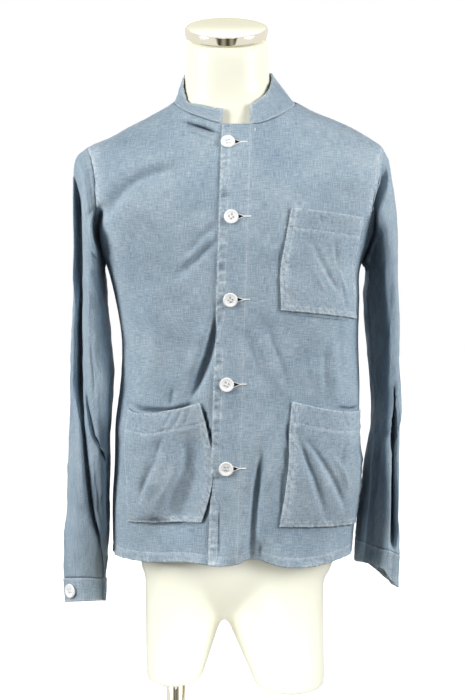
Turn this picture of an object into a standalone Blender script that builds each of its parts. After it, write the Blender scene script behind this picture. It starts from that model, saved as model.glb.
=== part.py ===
"""Chambray shirt jacket buttoned on a limbless dress form.

Metres, +Z up, the front faces -Y.  Sides are the wearer's: left is +X.
"""
import math

import bmesh
import bpy
import numpy as np
from mathutils import Matrix, Vector

WALL = 0.0012            # one layer of cloth
SEAM_GAP = 0.0003        # between pieces that are sewn or set together
POCKET_GAP = 0.0013      # between a pocket and the front under it
LAP_LIFT = 0.0021        # the top front rides this far over the lower one
PLACKET = 0.0385         # folded band along each front edge

HEM_Z = 0.507
UNDERARM_Z = 0.908
TIP_Z = 1.069            # shoulder tip
ARM_DEPTH = 0.062        # armhole half depth, front to back
FRONT_TUCK = 0.50        # share of that depth lost where the seam tucks in above the underarm
BACK_TUCK = 0.25

LOWER_ROWS = 12          # hem to underarm
ARM_ROWS = 12            # underarm to shoulder tip
NECK_ROWS = 4            # shoulder tip to neckline
BAND_COLS = 3            # across a placket
FRONT_COLS = 11          # placket to side seam
BACK_COLS = 22
COLLAR_ROWS = 3
TUBE_POINTS = 2 * ARM_ROWS

BODY_RINGS = np.array([
    # z, half width, front depth, back depth, squareness, centre x
    [0.470, 0.1650, 0.113, 0.113, 2.4, 0.0000],
    [0.535, 0.1680, 0.115, 0.115, 2.4, 0.0010],
    [0.575, 0.1708, 0.116, 0.116, 2.4, 0.0035],
    [0.631, 0.1720, 0.117, 0.117, 2.4, 0.0077],
    [0.687, 0.1700, 0.117, 0.116, 2.4, 0.0070],
    [0.743, 0.1666, 0.116, 0.112, 2.4, 0.0105],
    [0.799, 0.1650, 0.116, 0.110, 2.4, 0.0105],
    [0.855, 0.1700, 0.118, 0.112, 2.4, 0.0070],
    [0.897, 0.1755, 0.119, 0.117, 2.4, 0.0021],
    [0.939, 0.1910, 0.120, 0.120, 2.4, 0.0018],
    [0.995, 0.2100, 0.117, 0.122, 2.4, 0.0031],
    [1.028, 0.2130, 0.109, 0.120, 2.4, 0.0060],
    [1.051, 0.2110, 0.098, 0.115, 2.3, 0.0040],
    [1.069, 0.2044, 0.088, 0.110, 2.2, 0.0040],
    [1.082, 0.1806, 0.081, 0.106, 2.1, 0.0095],
    [1.096, 0.1561, 0.074, 0.101, 2.0, 0.0100],
    [1.107, 0.1330, 0.069, 0.096, 2.0, 0.0085],
    [1.117, 0.1110, 0.066, 0.091, 2.0, 0.0050],
    [1.128, 0.0910, 0.064, 0.085, 2.0, 0.0040],
    [1.138, 0.0784, 0.064, 0.080, 2.0, 0.0000],
    [1.152, 0.0740, 0.064, 0.077, 2.0, -0.0020],
])

NECKLINE = np.array([
    # degrees from the front, z
    [0.0, 1.0990],
    [30.0, 1.1050],
    [60.0, 1.1200],
    [90.0, 1.1320],
    [135.0, 1.1375],
    [180.0, 1.1400],
])

COLLAR_CENTRE = (-0.0056, 0.0070)
COLLAR_TOP = np.array([
    # degrees from the front (wearer's left positive), z, radius
    [-180.0, 1.1780, 0.0680],
    [-120.0, 1.1750, 0.0660],
    [-95.0, 1.1680, 0.0640],
    [-75.0, 1.1500, 0.0655],
    [-55.0, 1.1290, 0.0690],
    [-35.0, 1.1220, 0.0690],
    [-10.0, 1.1150, 0.0680],
    [20.0, 1.1260, 0.0680],
    [45.0, 1.1380, 0.0670],
    [70.0, 1.1580, 0.0650],
    [90.0, 1.1700, 0.0640],
    [120.0, 1.1760, 0.0660],
    [180.0, 1.1780, 0.0680],
])

BODY_FOLDS = [
    # side (-1 front, 1 back), x and z of one end, x and z of the other, width, depth
    (-1, -0.022, 0.845, -0.056, 0.740, 0.011, -0.0032),
    (-1, -0.133, 1.024, -0.166, 0.972, 0.014, -0.0026),
    (-1, -0.030, 1.066, -0.125, 1.054, 0.013, -0.0016),
    (-1, -0.024, 0.955, -0.084, 0.888, 0.014, 0.0018),
    (-1, 0.042, 0.668, 0.028, 0.532, 0.012, 0.0024),
    (-1, 0.125, 1.030, 0.168, 0.995, 0.016, -0.0020),
    (1, -0.080, 1.000, -0.100, 0.640, 0.022, 0.0030),
    (1, 0.085, 0.990, 0.105, 0.620, 0.022, 0.0030),
    (1, -0.020, 0.760, 0.030, 0.560, 0.020, -0.0026),
]

SLEEVES = {
    # outer x, outer z, inner x, inner z, half depth, centre y, shift of the front edge outward
    "sleeve_right": np.array([
        [-0.2079, 1.0641, -0.1774, 0.9059, 0.064, 0.000, 0.000],
        [-0.2170, 1.0550, -0.1782, 0.9024, 0.066, 0.000, 0.000],
        [-0.2225, 1.0368, -0.1786, 0.8982, 0.069, 0.000, 0.000],
        [-0.2243, 1.0130, -0.1785, 0.8926, 0.072, 0.000, 0.000],
        [-0.2247, 0.9808, -0.1779, 0.8842, 0.074, 0.000, 0.000],
        [-0.2247, 0.9430, -0.1768, 0.8716, 0.076, 0.000, 0.000],
        [-0.2247, 0.9038, -0.1753, 0.8590, 0.076, -0.001, 0.000],
        [-0.2251, 0.8618, -0.1737, 0.8436, 0.075, -0.002, 0.000],
        [-0.2261, 0.8226, -0.1715, 0.8184, 0.073, -0.003, 0.000],
        [-0.2281, 0.7848, -0.1690, 0.7848, 0.071, -0.005, 0.000],
        [-0.2289, 0.7498, -0.1663, 0.7498, 0.069, -0.007, 0.000],
        [-0.2289, 0.7148, -0.1687, 0.7148, 0.067, -0.009, 0.000],
        [-0.2303, 0.6798, -0.1701, 0.6798, 0.065, -0.011, 0.000],
        [-0.2313, 0.6448, -0.1709, 0.6448, 0.062, -0.013, 0.000],
        [-0.2324, 0.6098, -0.1718, 0.6098, 0.060, -0.015, 0.000],
        [-0.2331, 0.5748, -0.1726, 0.5748, 0.057, -0.017, 0.000],
        [-0.2341, 0.5398, -0.1719, 0.5398, 0.054, -0.019, 0.000],
        [-0.2345, 0.5048, -0.1750, 0.5048, 0.051, -0.021, 0.000],
        [-0.2345, 0.4656, -0.1792, 0.4656, 0.047, -0.023, 0.000],
    ]),
    "sleeve_left": np.array([
        [0.2128, 1.0606, 0.1810, 0.9070, 0.064, 0.000, 0.000],
        [0.2177, 1.0494, 0.1824, 0.9045, 0.066, 0.000, 0.002],
        [0.2223, 1.0312, 0.1847, 0.9017, 0.069, 0.000, 0.005],
        [0.2264, 1.0088, 0.1869, 0.8982, 0.072, 0.000, 0.008],
        [0.2292, 0.9836, 0.1886, 0.8926, 0.074, 0.000, 0.011],
        [0.2307, 0.9500, 0.1886, 0.8814, 0.076, 0.000, 0.013],
        [0.2303, 0.9108, 0.1869, 0.8674, 0.076, -0.001, 0.014],
        [0.2296, 0.8688, 0.1858, 0.8506, 0.075, -0.002, 0.014],
        [0.2310, 0.8268, 0.1873, 0.8282, 0.073, -0.003, 0.014],
        [0.2321, 0.7904, 0.1904, 0.7918, 0.071, -0.005, 0.013],
        [0.2331, 0.7498, 0.1946, 0.7498, 0.069, -0.007, 0.013],
        [0.2331, 0.7148, 0.1971, 0.7148, 0.067, -0.009, 0.012],
        [0.2331, 0.6798, 0.1942, 0.6798, 0.065, -0.011, 0.012],
        [0.2331, 0.6448, 0.1883, 0.6448, 0.062, -0.013, 0.012],
        [0.2331, 0.6098, 0.1835, 0.6126, 0.060, -0.015, 0.013],
        [0.2323, 0.5720, 0.1791, 0.5804, 0.057, -0.017, 0.013],
        [0.2313, 0.5328, 0.1751, 0.5496, 0.054, -0.019, 0.012],
        [0.2303, 0.4964, 0.1729, 0.5188, 0.051, -0.021, 0.010],
    ]),
}

CUFF_ENDS = {
    # the same columns at the lower edge
    "cuff_right": (-0.2327, 0.4320, -0.1797, 0.4340, 0.047, -0.024, 0.000),
    "cuff_left": (0.2290, 0.4544, 0.1715, 0.4922, 0.050, -0.022, 0.008),
}

SLEEVE_FOLDS = {
    # degrees from the outer edge towards the front at each section number, width in degrees, depth
    "sleeve_right": [
        ([(2, 46), (9, 46), (12, 63), (14, 88), (16, 105), (18, 130)], 17.0, -0.0075),
        ([(8, 200), (13, 240)], 22.0, -0.0040),
    ],
    "sleeve_left": [
        ([(4, 135), (9, 140), (13, 120), (16, 140)], 24.0, -0.0035),
        ([(9, 300), (13, 270)], 22.0, -0.0035),
    ],
}

POCKETS = {
    # x and z of the four corners as seen: top left, top right, lower left, lower right; mouth sag, mouth gape
    "chest_pocket": (0.0784, 0.9843, 0.1775, 0.9708, 0.0645, 0.8471, 0.1700, 0.8310, 0.000, 0.0004),
    "hip_pocket_left": (0.0791, 0.7253, 0.1730, 0.7060, 0.0622, 0.5620, 0.1690, 0.5520, 0.006, 0.0022),
    "hip_pocket_right": (-0.1418, 0.7110, -0.0440, 0.7236, -0.1404, 0.5580, -0.0420, 0.5640, 0.007, 0.0022),
}
POCKET_COLS = 9
POCKET_ROWS = 8

BUTTON_RADIUS = 0.00975
BUTTON_GAP = 0.0006
BUTTON_PROFILE = [
    # radius share, height
    (1.00, 0.0000),
    (1.00, 0.0018),
    (0.88, 0.0026),
    (0.66, 0.0021),
]
FRONT_BUTTONS = [
    # x, z
    (-0.0063, 1.0726),
    (-0.0017, 0.9723),
    (-0.0029, 0.8615),
    (-0.0072, 0.7483),
    (-0.0085, 0.6363),
]
CUFF_BUTTON_ANGLES = {"cuff_button_right": 57.0, "cuff_button_left": -60.0}

FORM_RINGS = np.array([
    # z, half width, front depth, back depth, centre x, forward tilt
    [0.400, 0.0500, 0.0400, 0.0400, 0.0000, 0.0],
    [0.412, 0.0950, 0.0680, 0.0720, 0.0020, 0.0],
    [0.435, 0.1220, 0.0840, 0.0900, 0.0040, 0.0],
    [0.470, 0.1290, 0.0900, 0.0970, 0.0050, 0.0],
    [0.530, 0.1300, 0.0920, 0.1000, 0.0050, 0.0],
    [0.600, 0.1290, 0.0910, 0.0980, 0.0050, 0.0],
    [0.680, 0.1240, 0.0880, 0.0880, 0.0050, 0.0],
    [0.750, 0.1220, 0.0880, 0.0820, 0.0050, 0.0],
    [0.820, 0.1320, 0.0930, 0.0840, 0.0050, 0.0],
    [0.880, 0.1500, 0.1010, 0.0920, 0.0030, 0.0],
    [0.930, 0.1660, 0.1050, 0.1000, 0.0020, 0.0],
    [0.980, 0.1800, 0.1040, 0.1060, 0.0030, 0.0],
    [1.015, 0.1870, 0.0970, 0.1060, 0.0040, 0.0],
    [1.040, 0.1890, 0.0880, 0.1030, 0.0040, 0.0],
    [1.055, 0.1880, 0.0810, 0.0990, 0.0040, 0.0],
    [1.066, 0.1820, 0.0760, 0.0960, 0.0040, 0.0],
    [1.082, 0.1640, 0.0700, 0.0930, 0.0090, 0.0],
    [1.096, 0.1400, 0.0640, 0.0880, 0.0095, 0.0],
    [1.107, 0.1170, 0.0590, 0.0830, 0.0080, 0.0],
    [1.117, 0.0950, 0.0560, 0.0780, 0.0045, 0.0],
    [1.128, 0.0710, 0.0515, 0.0700, 0.0000, 0.0],
    [1.140, 0.0615, 0.0505, 0.0650, -0.0050, 0.0],
    [1.160, 0.0595, 0.0510, 0.0615, -0.0072, 0.1],
    [1.195, 0.0595, 0.0525, 0.0605, -0.0072, 0.6],
    [1.224, 0.0595, 0.0525, 0.0605, -0.0080, 1.0],
])
FORM_POINTS = 28
NECK_TILT = math.radians(20.0)
STUMPS = {
    # centre x, half width, half depth, z at the cut end, then the same at the top
    "stump_right_body": (-0.0820, 0.0390, 0.0600, 0.327, -0.0620, 0.0600, 0.0780, 0.500),
    "stump_left_body": (0.0810, 0.0480, 0.0640, 0.317, 0.0690, 0.0580, 0.0780, 0.500),
}
CAP_RADIUS = 0.0595
CAP_HEIGHT = 0.0128
CAP_CENTRE = (-0.0084, 0.0042, 1.2249)
POLE_X = -0.079
POLE_RADIUS = 0.0138
BASE_PROFILE = [
    # radius, z
    (0.1780, 0.0000),
    (0.1800, 0.0020),
    (0.1800, 0.0120),
    (0.1760, 0.0160),
]
ROUND_POINTS = 40


def add_material(name, colour, roughness, metallic=0.0):
    material = bpy.data.materials.new(name)
    material.use_nodes = True
    shader = material.node_tree.nodes["Principled BSDF"]
    shader.inputs["Base Color"].default_value = (*colour, 1.0)
    shader.inputs["Roughness"].default_value = roughness
    shader.inputs["Metallic"].default_value = metallic
    return material


def add_object(name, verts, faces, material, smooth=True):
    """One closed body, its faces turned outward."""
    mesh = bpy.data.meshes.new(name)
    mesh.from_pydata([tuple(v) for v in verts], [], faces)
    body = bmesh.new()
    body.from_mesh(mesh)
    if body.calc_volume(signed=True) < 0.0:
        bmesh.ops.reverse_faces(body, faces=body.faces)
    for face in body.faces:
        face.smooth = smooth
    body.to_mesh(mesh)
    body.free()
    mesh.materials.append(material)
    obj = bpy.data.objects.new(name, mesh)
    bpy.context.scene.collection.objects.link(obj)
    return obj


def unit(vectors):
    return vectors / np.maximum(np.linalg.norm(vectors, axis=-1, keepdims=True), 1e-12)


def smooth_row(table, key):
    """The table's columns at a key between its rows, on a cubic through them."""
    keys = table[:, 0]
    key = min(max(key, keys[0]), keys[-1])
    i = int(min(max(np.searchsorted(keys, key) - 1, 0), len(keys) - 2))
    slopes = np.gradient(table[:, 1:], keys, axis=0)
    span = keys[i + 1] - keys[i]
    t = (key - keys[i]) / span
    start = (2 * t ** 3 - 3 * t ** 2 + 1) * table[i, 1:] + (t ** 3 - 2 * t ** 2 + t) * span * slopes[i]
    end = (3 * t ** 2 - 2 * t ** 3) * table[i + 1, 1:] + (t ** 3 - t ** 2) * span * slopes[i + 1]
    return start + end


def ease(low, high, value):
    """0 below low, 1 above high, smooth between."""
    t = min(max((value - low) / (high - low), 0.0), 1.0)
    return t * t * (3.0 - 2.0 * t)


def fold_depth(side, x, z):
    """Sum of the folds that cross this spot of the body, outward positive."""
    total = 0.0
    for fold_side, x0, z0, x1, z1, width, depth in BODY_FOLDS:
        if fold_side != side:
            continue
        dx, dz = x1 - x0, z1 - z0
        along = ((x - x0) * dx + (z - z0) * dz) / (dx * dx + dz * dz)
        across = ((x - x0) * dz - (z - z0) * dx) / math.hypot(dx, dz)
        fade = ease(-0.15, 0.2, along) * (1.0 - ease(0.8, 1.15, along))
        total += depth * fade * math.exp(-(across / width) ** 2)
    return total


def edge_x(z):
    """The buttoned edge, which drifts a little to the wearer's right on the way down."""
    return -0.0145 - 0.0309 * (1.0955 - z)


def body_point(angle, z, lap=False):
    """A spot on the jacket's outer face, angle 0 at the front and a quarter turn at the left side."""
    half, front, back, square, centre = smooth_row(BODY_RINGS, z)
    sine, cosine = math.sin(angle), math.cos(angle)
    power = 2.0 / square
    depth = front if cosine > 0.0 else back
    x = centre + half * math.copysign(abs(sine) ** power, sine)
    y = -depth * math.copysign(abs(cosine) ** power, cosine)
    out = np.array([
        math.copysign(abs(sine) ** (2.0 - power), sine) / half,
        -math.copysign(abs(cosine) ** (2.0 - power), cosine) / depth,
    ])
    out = unit(out)
    lift = fold_depth(-1 if cosine > 0.0 else 1, x, z) * ease(0.0, 0.4, abs(cosine))
    if lap:
        lift += LAP_LIFT * (1.0 - ease(0.044, 0.080, x - edge_x(z)))
    return np.array([x + out[0] * lift, y + out[1] * lift, z])


def body_normal(angle, z, lap=False):
    turn, rise = 2e-3, 1e-3
    across = body_point(angle + turn, z, lap) - body_point(angle - turn, z, lap)
    upward = body_point(angle, z + rise, lap) - body_point(angle, z - rise, lap)
    return unit(np.cross(across, upward))


def angle_at(x, z):
    """The front angle whose spot has this x."""
    half, front, back, square, centre = smooth_row(BODY_RINGS, z)
    share = min(max((x - centre) / half, -0.995), 0.995)
    return math.asin(math.copysign(abs(share) ** (square / 2.0), share))


def side_angle(z, reach, back=False):
    """The angle where the panel ends at the side, this far in front of or behind the seam line."""
    half, front, rear, square, centre = smooth_row(BODY_RINGS, z)
    cosine = (max(reach, 0.5 * SEAM_GAP) / (rear if back else front)) ** (square / 2.0)
    return math.pi - math.acos(cosine) if back else math.acos(cosine)


def neck_z(angle):
    turn = abs(math.degrees(math.remainder(angle, 2.0 * math.pi)))
    return float(smooth_row(NECKLINE, turn)[0])


def arm_row(k, back):
    """Height and reach of the armhole at step k of its half turn from the top."""
    turn = math.pi * k / ARM_ROWS
    middle, half = 0.5 * (TIP_Z + UNDERARM_Z), 0.5 * (TIP_Z - UNDERARM_Z)
    tuck = (BACK_TUCK if back else FRONT_TUCK) * ease(1.5, 2.4, turn)
    return middle + half * math.cos(turn), ARM_DEPTH * math.sin(turn) * (1.0 - tuck)


def panel_rows(back):
    """Height, armhole reach and neck share of each row from the hem up."""
    rows = [(HEM_Z + (UNDERARM_Z - HEM_Z) * i / LOWER_ROWS, 0.0, 0.0) for i in range(LOWER_ROWS)]
    rows += [(*arm_row(k, back), 0.0) for k in range(ARM_ROWS, -1, -1)]
    rows += [(TIP_Z, 0.0, i / NECK_ROWS) for i in range(1, NECK_ROWS + 1)]
    return rows


def row_height(z, share, angle):
    return z + (neck_z(angle) - z) * share if share else z


def panel(kind):
    """Angles and heights of a panel's grid, angles rising along each row."""
    angles, heights = [], []
    for z, reach, share in panel_rows(kind == "back"):
        side_z = row_height(z, share, math.pi / 2)
        front_z = row_height(z, share, 0.0)
        edge = edge_x(front_z)
        if kind == "back":
            side = side_angle(side_z, reach, back=True)
            row = np.linspace(side, 2.0 * math.pi - side, BACK_COLS + 1)
        elif kind == "front_left":
            fold = angle_at(edge + PLACKET, front_z)
            band = np.linspace(angle_at(edge, front_z), fold, BAND_COLS + 1)
            row = np.append(band[:-1], np.linspace(fold, side_angle(side_z, reach), FRONT_COLS + 1))
        else:
            fold = angle_at(edge, front_z)
            band = np.linspace(fold, angle_at(edge + PLACKET - 0.002, front_z), BAND_COLS + 1)
            row = np.append(np.linspace(-side_angle(side_z, reach), fold, FRONT_COLS + 1), band[1:])
        angles.append(row)
        heights.append([row_height(z, share, a) for a in row])
    return np.array(angles), np.array(heights)


def evaluate(angles, heights, lap):
    points = np.array([[body_point(a, z, lap) for a, z in zip(*row)] for row in zip(angles, heights)])
    normals = np.array([[body_normal(a, z, lap) for a, z in zip(*row)] for row in zip(angles, heights)])
    return points, normals


def wall(name, points, normals, material, closed=False, thickness=WALL):
    """A cloth wall: the outer grid, the same grid set in by the thickness, and rims round the edges."""
    rows, cols = points.shape[:2]
    verts = np.concatenate([points.reshape(-1, 3), (points - thickness * normals).reshape(-1, 3)])
    inner = rows * cols

    def at(r, c, layer=0):
        return layer * inner + r * cols + c % cols

    faces = []
    for r in range(rows - 1):
        for c in range(cols if closed else cols - 1):
            faces.append((at(r, c), at(r, c + 1), at(r + 1, c + 1), at(r + 1, c)))
            faces.append((at(r, c, 1), at(r + 1, c, 1), at(r + 1, c + 1, 1), at(r, c + 1, 1)))
    for c in range(cols if closed else cols - 1):
        last = rows - 1
        faces.append((at(0, c + 1), at(0, c), at(0, c, 1), at(0, c + 1, 1)))
        faces.append((at(last, c), at(last, c + 1), at(last, c + 1, 1), at(last, c, 1)))
    if not closed:
        for r in range(rows - 1):
            last = cols - 1
            faces.append((at(r, 0), at(r + 1, 0), at(r + 1, 0, 1), at(r, 0, 1)))
            faces.append((at(r + 1, last), at(r, last), at(r, last, 1), at(r + 1, last, 1)))
    return add_object(name, verts, faces, material)


def loft(name, rings, material, smooth=True):
    """A solid through rings of equal count, capped at both ends."""
    rings = np.array(rings)
    rows, cols = rings.shape[:2]
    faces = []
    for r in range(rows - 1):
        for c in range(cols):
            d = (c + 1) % cols
            faces.append((r * cols + c, r * cols + d, (r + 1) * cols + d, (r + 1) * cols + c))
    faces.append(tuple(reversed(range(cols))))
    faces.append(tuple((rows - 1) * cols + c for c in range(cols)))
    return add_object(name, rings.reshape(-1, 3), faces, material, smooth)


def ring(radius_x, radius_y, count, centre=(0.0, 0.0, 0.0)):
    turns = [2.0 * math.pi * k / count for k in range(count)]
    return np.array([
        (centre[0] + radius_x * math.sin(t), centre[1] - radius_y * math.cos(t), centre[2]) for t in turns
    ])


def oval(section):
    """A sleeve section from its outer edge through the front, inner edge and back, and its outward directions."""
    outer_x, outer_z, inner_x, inner_z, depth, centre_y, skew = section
    centre = np.array([0.5 * (outer_x + inner_x), centre_y, 0.5 * (outer_z + inner_z)])
    reach = np.array([0.5 * (outer_x - inner_x), 0.0, 0.5 * (outer_z - inner_z)])
    arm = reach * math.sqrt(1.0 - skew * skew / reach.dot(reach))
    forward = np.array([0.0, -depth, 0.0]) + reach / np.linalg.norm(reach) * skew
    turns = [2.0 * math.pi * k / TUBE_POINTS for k in range(TUBE_POINTS)]
    points = np.array([centre + arm * math.cos(t) + forward * math.sin(t) for t in turns])
    outward = np.array([
        arm * math.cos(t) / arm.dot(arm) + forward * math.sin(t) / forward.dot(forward) for t in turns
    ])
    return points, unit(outward)


def sleeve_fold(name, row, turn):
    total = 0.0
    for line, width, depth in SLEEVE_FOLDS[name]:
        rows = [spot[0] for spot in line]
        middle = np.interp(row, rows, [spot[1] for spot in line])
        fade = ease(rows[0] - 1.5, rows[0] + 0.5, row) * (1.0 - ease(rows[-1] - 1.5, rows[-1], row))
        gap = (turn - middle + 180.0) % 360.0 - 180.0
        total += depth * fade * math.exp(-(gap / width) ** 2)
    return total


def armhole(side):
    """The armhole's points and body normals, from the shoulder tip through the front, underarm and back."""
    points, normals = [], []
    for k in range(TUBE_POINTS):
        front = k <= ARM_ROWS
        z, reach = arm_row(k if front else TUBE_POINTS - k, back=not front)
        if k in (0, ARM_ROWS):
            angle = math.pi / 2
        else:
            angle = side_angle(z, reach, back=not front)
        angle *= side
        points.append(body_point(angle, z))
        normals.append(body_normal(angle, z))
    return np.array(points), np.array(normals)


def tube_normals(points):
    """Outward directions of a closed tube of rings."""
    around = np.roll(points, -1, axis=1) - np.roll(points, 1, axis=1)
    along = np.gradient(points, axis=0)
    normals = unit(np.cross(around, along))
    outward = points - points.mean(axis=1, keepdims=True)
    return normals if (normals * outward).sum() > 0.0 else -normals


def seam_step(points, nearer, normals, closed):
    """Small steps off a seam line, square to it and to its normals, towards the nearer row."""
    if closed:
        along = np.roll(points, -1, axis=0) - np.roll(points, 1, axis=0)
    else:
        along = np.gradient(points, axis=0)
    step = unit(np.cross(along, normals))
    sign = np.sign((step * (nearer - points)).sum(axis=1, keepdims=True))
    return SEAM_GAP * step * sign


def sleeve(name, side):
    """Outer points and normals of a sleeve, and the normals shared with the body at the armhole."""
    hole, hole_normals = armhole(side)
    tip, underarm = hole[0], hole[ARM_ROWS]
    ideal = oval((tip[0], tip[2], underarm[0], underarm[2], ARM_DEPTH, 0.0, 0.0))[0]
    rings = [hole]
    for row, section in enumerate(SLEEVES[name]):
        points, outward = oval(section)
        keep = max(0.0, 0.75 - 0.25 * row)
        depths = [sleeve_fold(name, row, 360.0 * k / TUBE_POINTS) for k in range(TUBE_POINTS)]
        rings.append(points + keep * (hole - ideal) + outward * np.array(depths)[:, None])
    points = np.array(rings)
    normals = tube_normals(points)
    shared = unit(normals[0] + hole_normals)
    normals[0] = shared
    points[0] = hole + seam_step(hole, points[1], shared, closed=True)
    return points, normals, shared


def cuff(name, sleeve_name, material):
    start = SLEEVES[sleeve_name][-1].copy()
    end = np.array(CUFF_ENDS[name])
    start[[1, 3]] -= SEAM_GAP
    rings = [oval(start + (end - start) * share)[0] for share in (0.0, 0.5, 1.0)]
    points = np.array(rings)
    normals = tube_normals(points)
    wall(name, points, normals, material, closed=True)
    return points, normals


def collar_top(base):
    """The collar's upper edge over each point of the neck seam."""
    tops = []
    for x, y, z in base:
        turn = math.atan2(x - COLLAR_CENTRE[0], -(y - COLLAR_CENTRE[1]))
        top_z, radius = smooth_row(COLLAR_TOP, math.degrees(turn))
        tops.append((
            COLLAR_CENTRE[0] + radius * math.sin(turn),
            COLLAR_CENTRE[1] - radius * math.cos(turn),
            top_z,
        ))
    return np.array(tops)


def build_jacket(cloth):
    """Panels, sleeves, collar and cuffs, with shared directions along every seam."""
    grids = {kind: panel(kind) for kind in ("front_left", "front_right", "back")}
    shapes = {kind: evaluate(*grid, lap=kind == "front_left") for kind, grid in grids.items()}

    for name, side, front, front_col, back_col in (
        ("sleeve_left", 1, "front_left", -1, 0),
        ("sleeve_right", -1, "front_right", 0, -1),
    ):
        points, normals, shared = sleeve(name, side)
        wall(name, points, normals, cloth, closed=True)
        for k in range(ARM_ROWS + 1):
            row = LOWER_ROWS + ARM_ROWS - k
            shapes[front][1][row, front_col] = shared[k]
            shapes["back"][1][row, back_col] = shared[-k % TUBE_POINTS]

    left_top, left_up = (layer[-1] for layer in shapes["front_left"])
    right_top, right_up = (layer[-1] for layer in shapes["front_right"])
    back_top, back_up = (layer[-1] for layer in shapes["back"])
    quarter = math.pi / 2
    shoulders = [body_point(a, neck_z(a)) for a in (quarter, -quarter)]
    seam = np.concatenate([
        left_top[BAND_COLS:-1], [shoulders[0]], back_top[1:-1], [shoulders[1]], right_top[1:FRONT_COLS + 1],
    ])
    seam_up = np.concatenate([
        left_up[BAND_COLS:-1], [body_normal(quarter, neck_z(quarter))], back_up[1:-1],
        [body_normal(-quarter, neck_z(quarter))], right_up[1:FRONT_COLS + 1],
    ])
    top = collar_top(seam)
    points = np.array([seam + (top - seam) * r / COLLAR_ROWS for r in range(COLLAR_ROWS + 1)])
    normals = unit(np.cross(np.gradient(points, axis=1), np.gradient(points, axis=0)))
    shared = unit(normals[0] + seam_up)
    normals[0] = shared
    points[0] = seam + seam_step(seam, points[1], shared, closed=False)
    wall("collar", points, normals, cloth)

    back_first = FRONT_COLS
    right_first = FRONT_COLS + BACK_COLS
    left_up[BAND_COLS:] = shared[:FRONT_COLS + 1]
    back_up[:] = shared[back_first:right_first + 1]
    right_up[:FRONT_COLS + 1] = shared[right_first:]
    for kind, (panel_points, panel_normals) in shapes.items():
        wall(kind, panel_points, panel_normals, cloth)

    return {name: cuff(name, name.replace("cuff", "sleeve"), cloth) for name in CUFF_ENDS}


def build_pocket(name, cloth):
    """A patch pocket, made from the front's own surface and moved out."""
    x0, z0, x1, z1, x2, z2, x3, z3, sag, gape = POCKETS[name]
    lap = name != "hip_pocket_right"
    rows = []
    for r in range(POCKET_ROWS + 1):
        up = r / POCKET_ROWS
        mouth = ease(0.55, 1.0, up)
        row = []
        for c in range(POCKET_COLS + 1):
            across = c / POCKET_COLS
            low = (1.0 - across) * angle_at(x2, z2) + across * angle_at(x3, z3)
            high = (1.0 - across) * angle_at(x0, z0) + across * angle_at(x1, z1)
            angle = (1.0 - up) * low + up * high
            z = (1.0 - up) * ((1.0 - across) * z2 + across * z3) + up * ((1.0 - across) * z0 + across * z1)
            swell = math.sin(math.pi * across)
            z -= sag * swell * mouth
            lift = POCKET_GAP + WALL + gape * swell * mouth
            row.append(body_point(angle, z, lap) + lift * body_normal(angle, z, lap))
        rows.append(row)
    points = np.array(rows)
    normals = unit(np.cross(np.gradient(points, axis=1), np.gradient(points, axis=0)))
    wall(name, points, normals, cloth)


def add_button(name, spot, normal, sampled, plastic):
    """A rimmed round button that clears the highest sampled spot of the cloth under it."""
    lift = max((point - spot).dot(normal) for point in sampled) + BUTTON_GAP
    turn = Vector((0.0, 0.0, 1.0)).rotation_difference(Vector(normal)).to_matrix().to_4x4()
    place = Matrix.Translation(Vector(spot + lift * normal)) @ turn
    rings = []
    for share, height in BUTTON_PROFILE:
        radius = share * BUTTON_RADIUS
        rings.append([tuple(place @ Vector(p)) for p in ring(radius, radius, 16, (0.0, 0.0, height))])
    loft(name, rings, plastic)


def build_buttons(cuffs, plastic):
    for number, (x, z) in enumerate(FRONT_BUTTONS, start=1):
        angle = angle_at(x, z)
        spot, normal = body_point(angle, z, lap=True), body_normal(angle, z, lap=True)
        sampled = [
            body_point(angle_at(x + dx, z + dz), z + dz, lap=True)
            for dx in (-BUTTON_RADIUS, 0.0, BUTTON_RADIUS)
            for dz in (-BUTTON_RADIUS, 0.0, BUTTON_RADIUS)
        ]
        add_button(f"front_button_{number}", spot, normal, sampled, plastic)
    for name, degrees in CUFF_BUTTON_ANGLES.items():
        points, normals = cuffs[name.replace("_button", "")]
        k = round(degrees / 360.0 * TUBE_POINTS) % TUBE_POINTS
        near = [points[r, (k + step) % TUBE_POINTS] for r in range(3) for step in (-1, 0, 1)]
        add_button(name, points[1, k], normals[1, k], near, plastic)


def build_form(ivory):
    """The torso with its tilted neck, and the two cut thigh ends joined to it."""
    rings = []
    for z, half, front, back, centre, tilt in FORM_RINGS:
        points = ring(half, 1.0, FORM_POINTS, (centre, 0.0, z))
        points[:, 1] *= np.where(points[:, 1] < 0.0, front, back)
        points[:, 2] += (points[:, 1] - CAP_CENTRE[1]) * tilt * math.tan(NECK_TILT)
        rings.append(points)
    torso = loft("form_torso", rings, ivory)
    for name, (x0, half0, depth0, z0, x1, half1, depth1, z1) in STUMPS.items():
        ends = [ring(half0, depth0, 24, (x0, 0.0, z0)), ring(half1, depth1, 24, (x1, 0.0, z1))]
        stump = loft(name, [ends[0] + (ends[1] - ends[0]) * share for share in (0.0, 0.33, 0.66, 1.0)], ivory)
        stump.hide_render = True
        stump.display_type = "WIRE"
        join = torso.modifiers.new(name, "BOOLEAN")
        join.operation = "UNION"
        join.solver = "EXACT"
        join.object = stump


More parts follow.
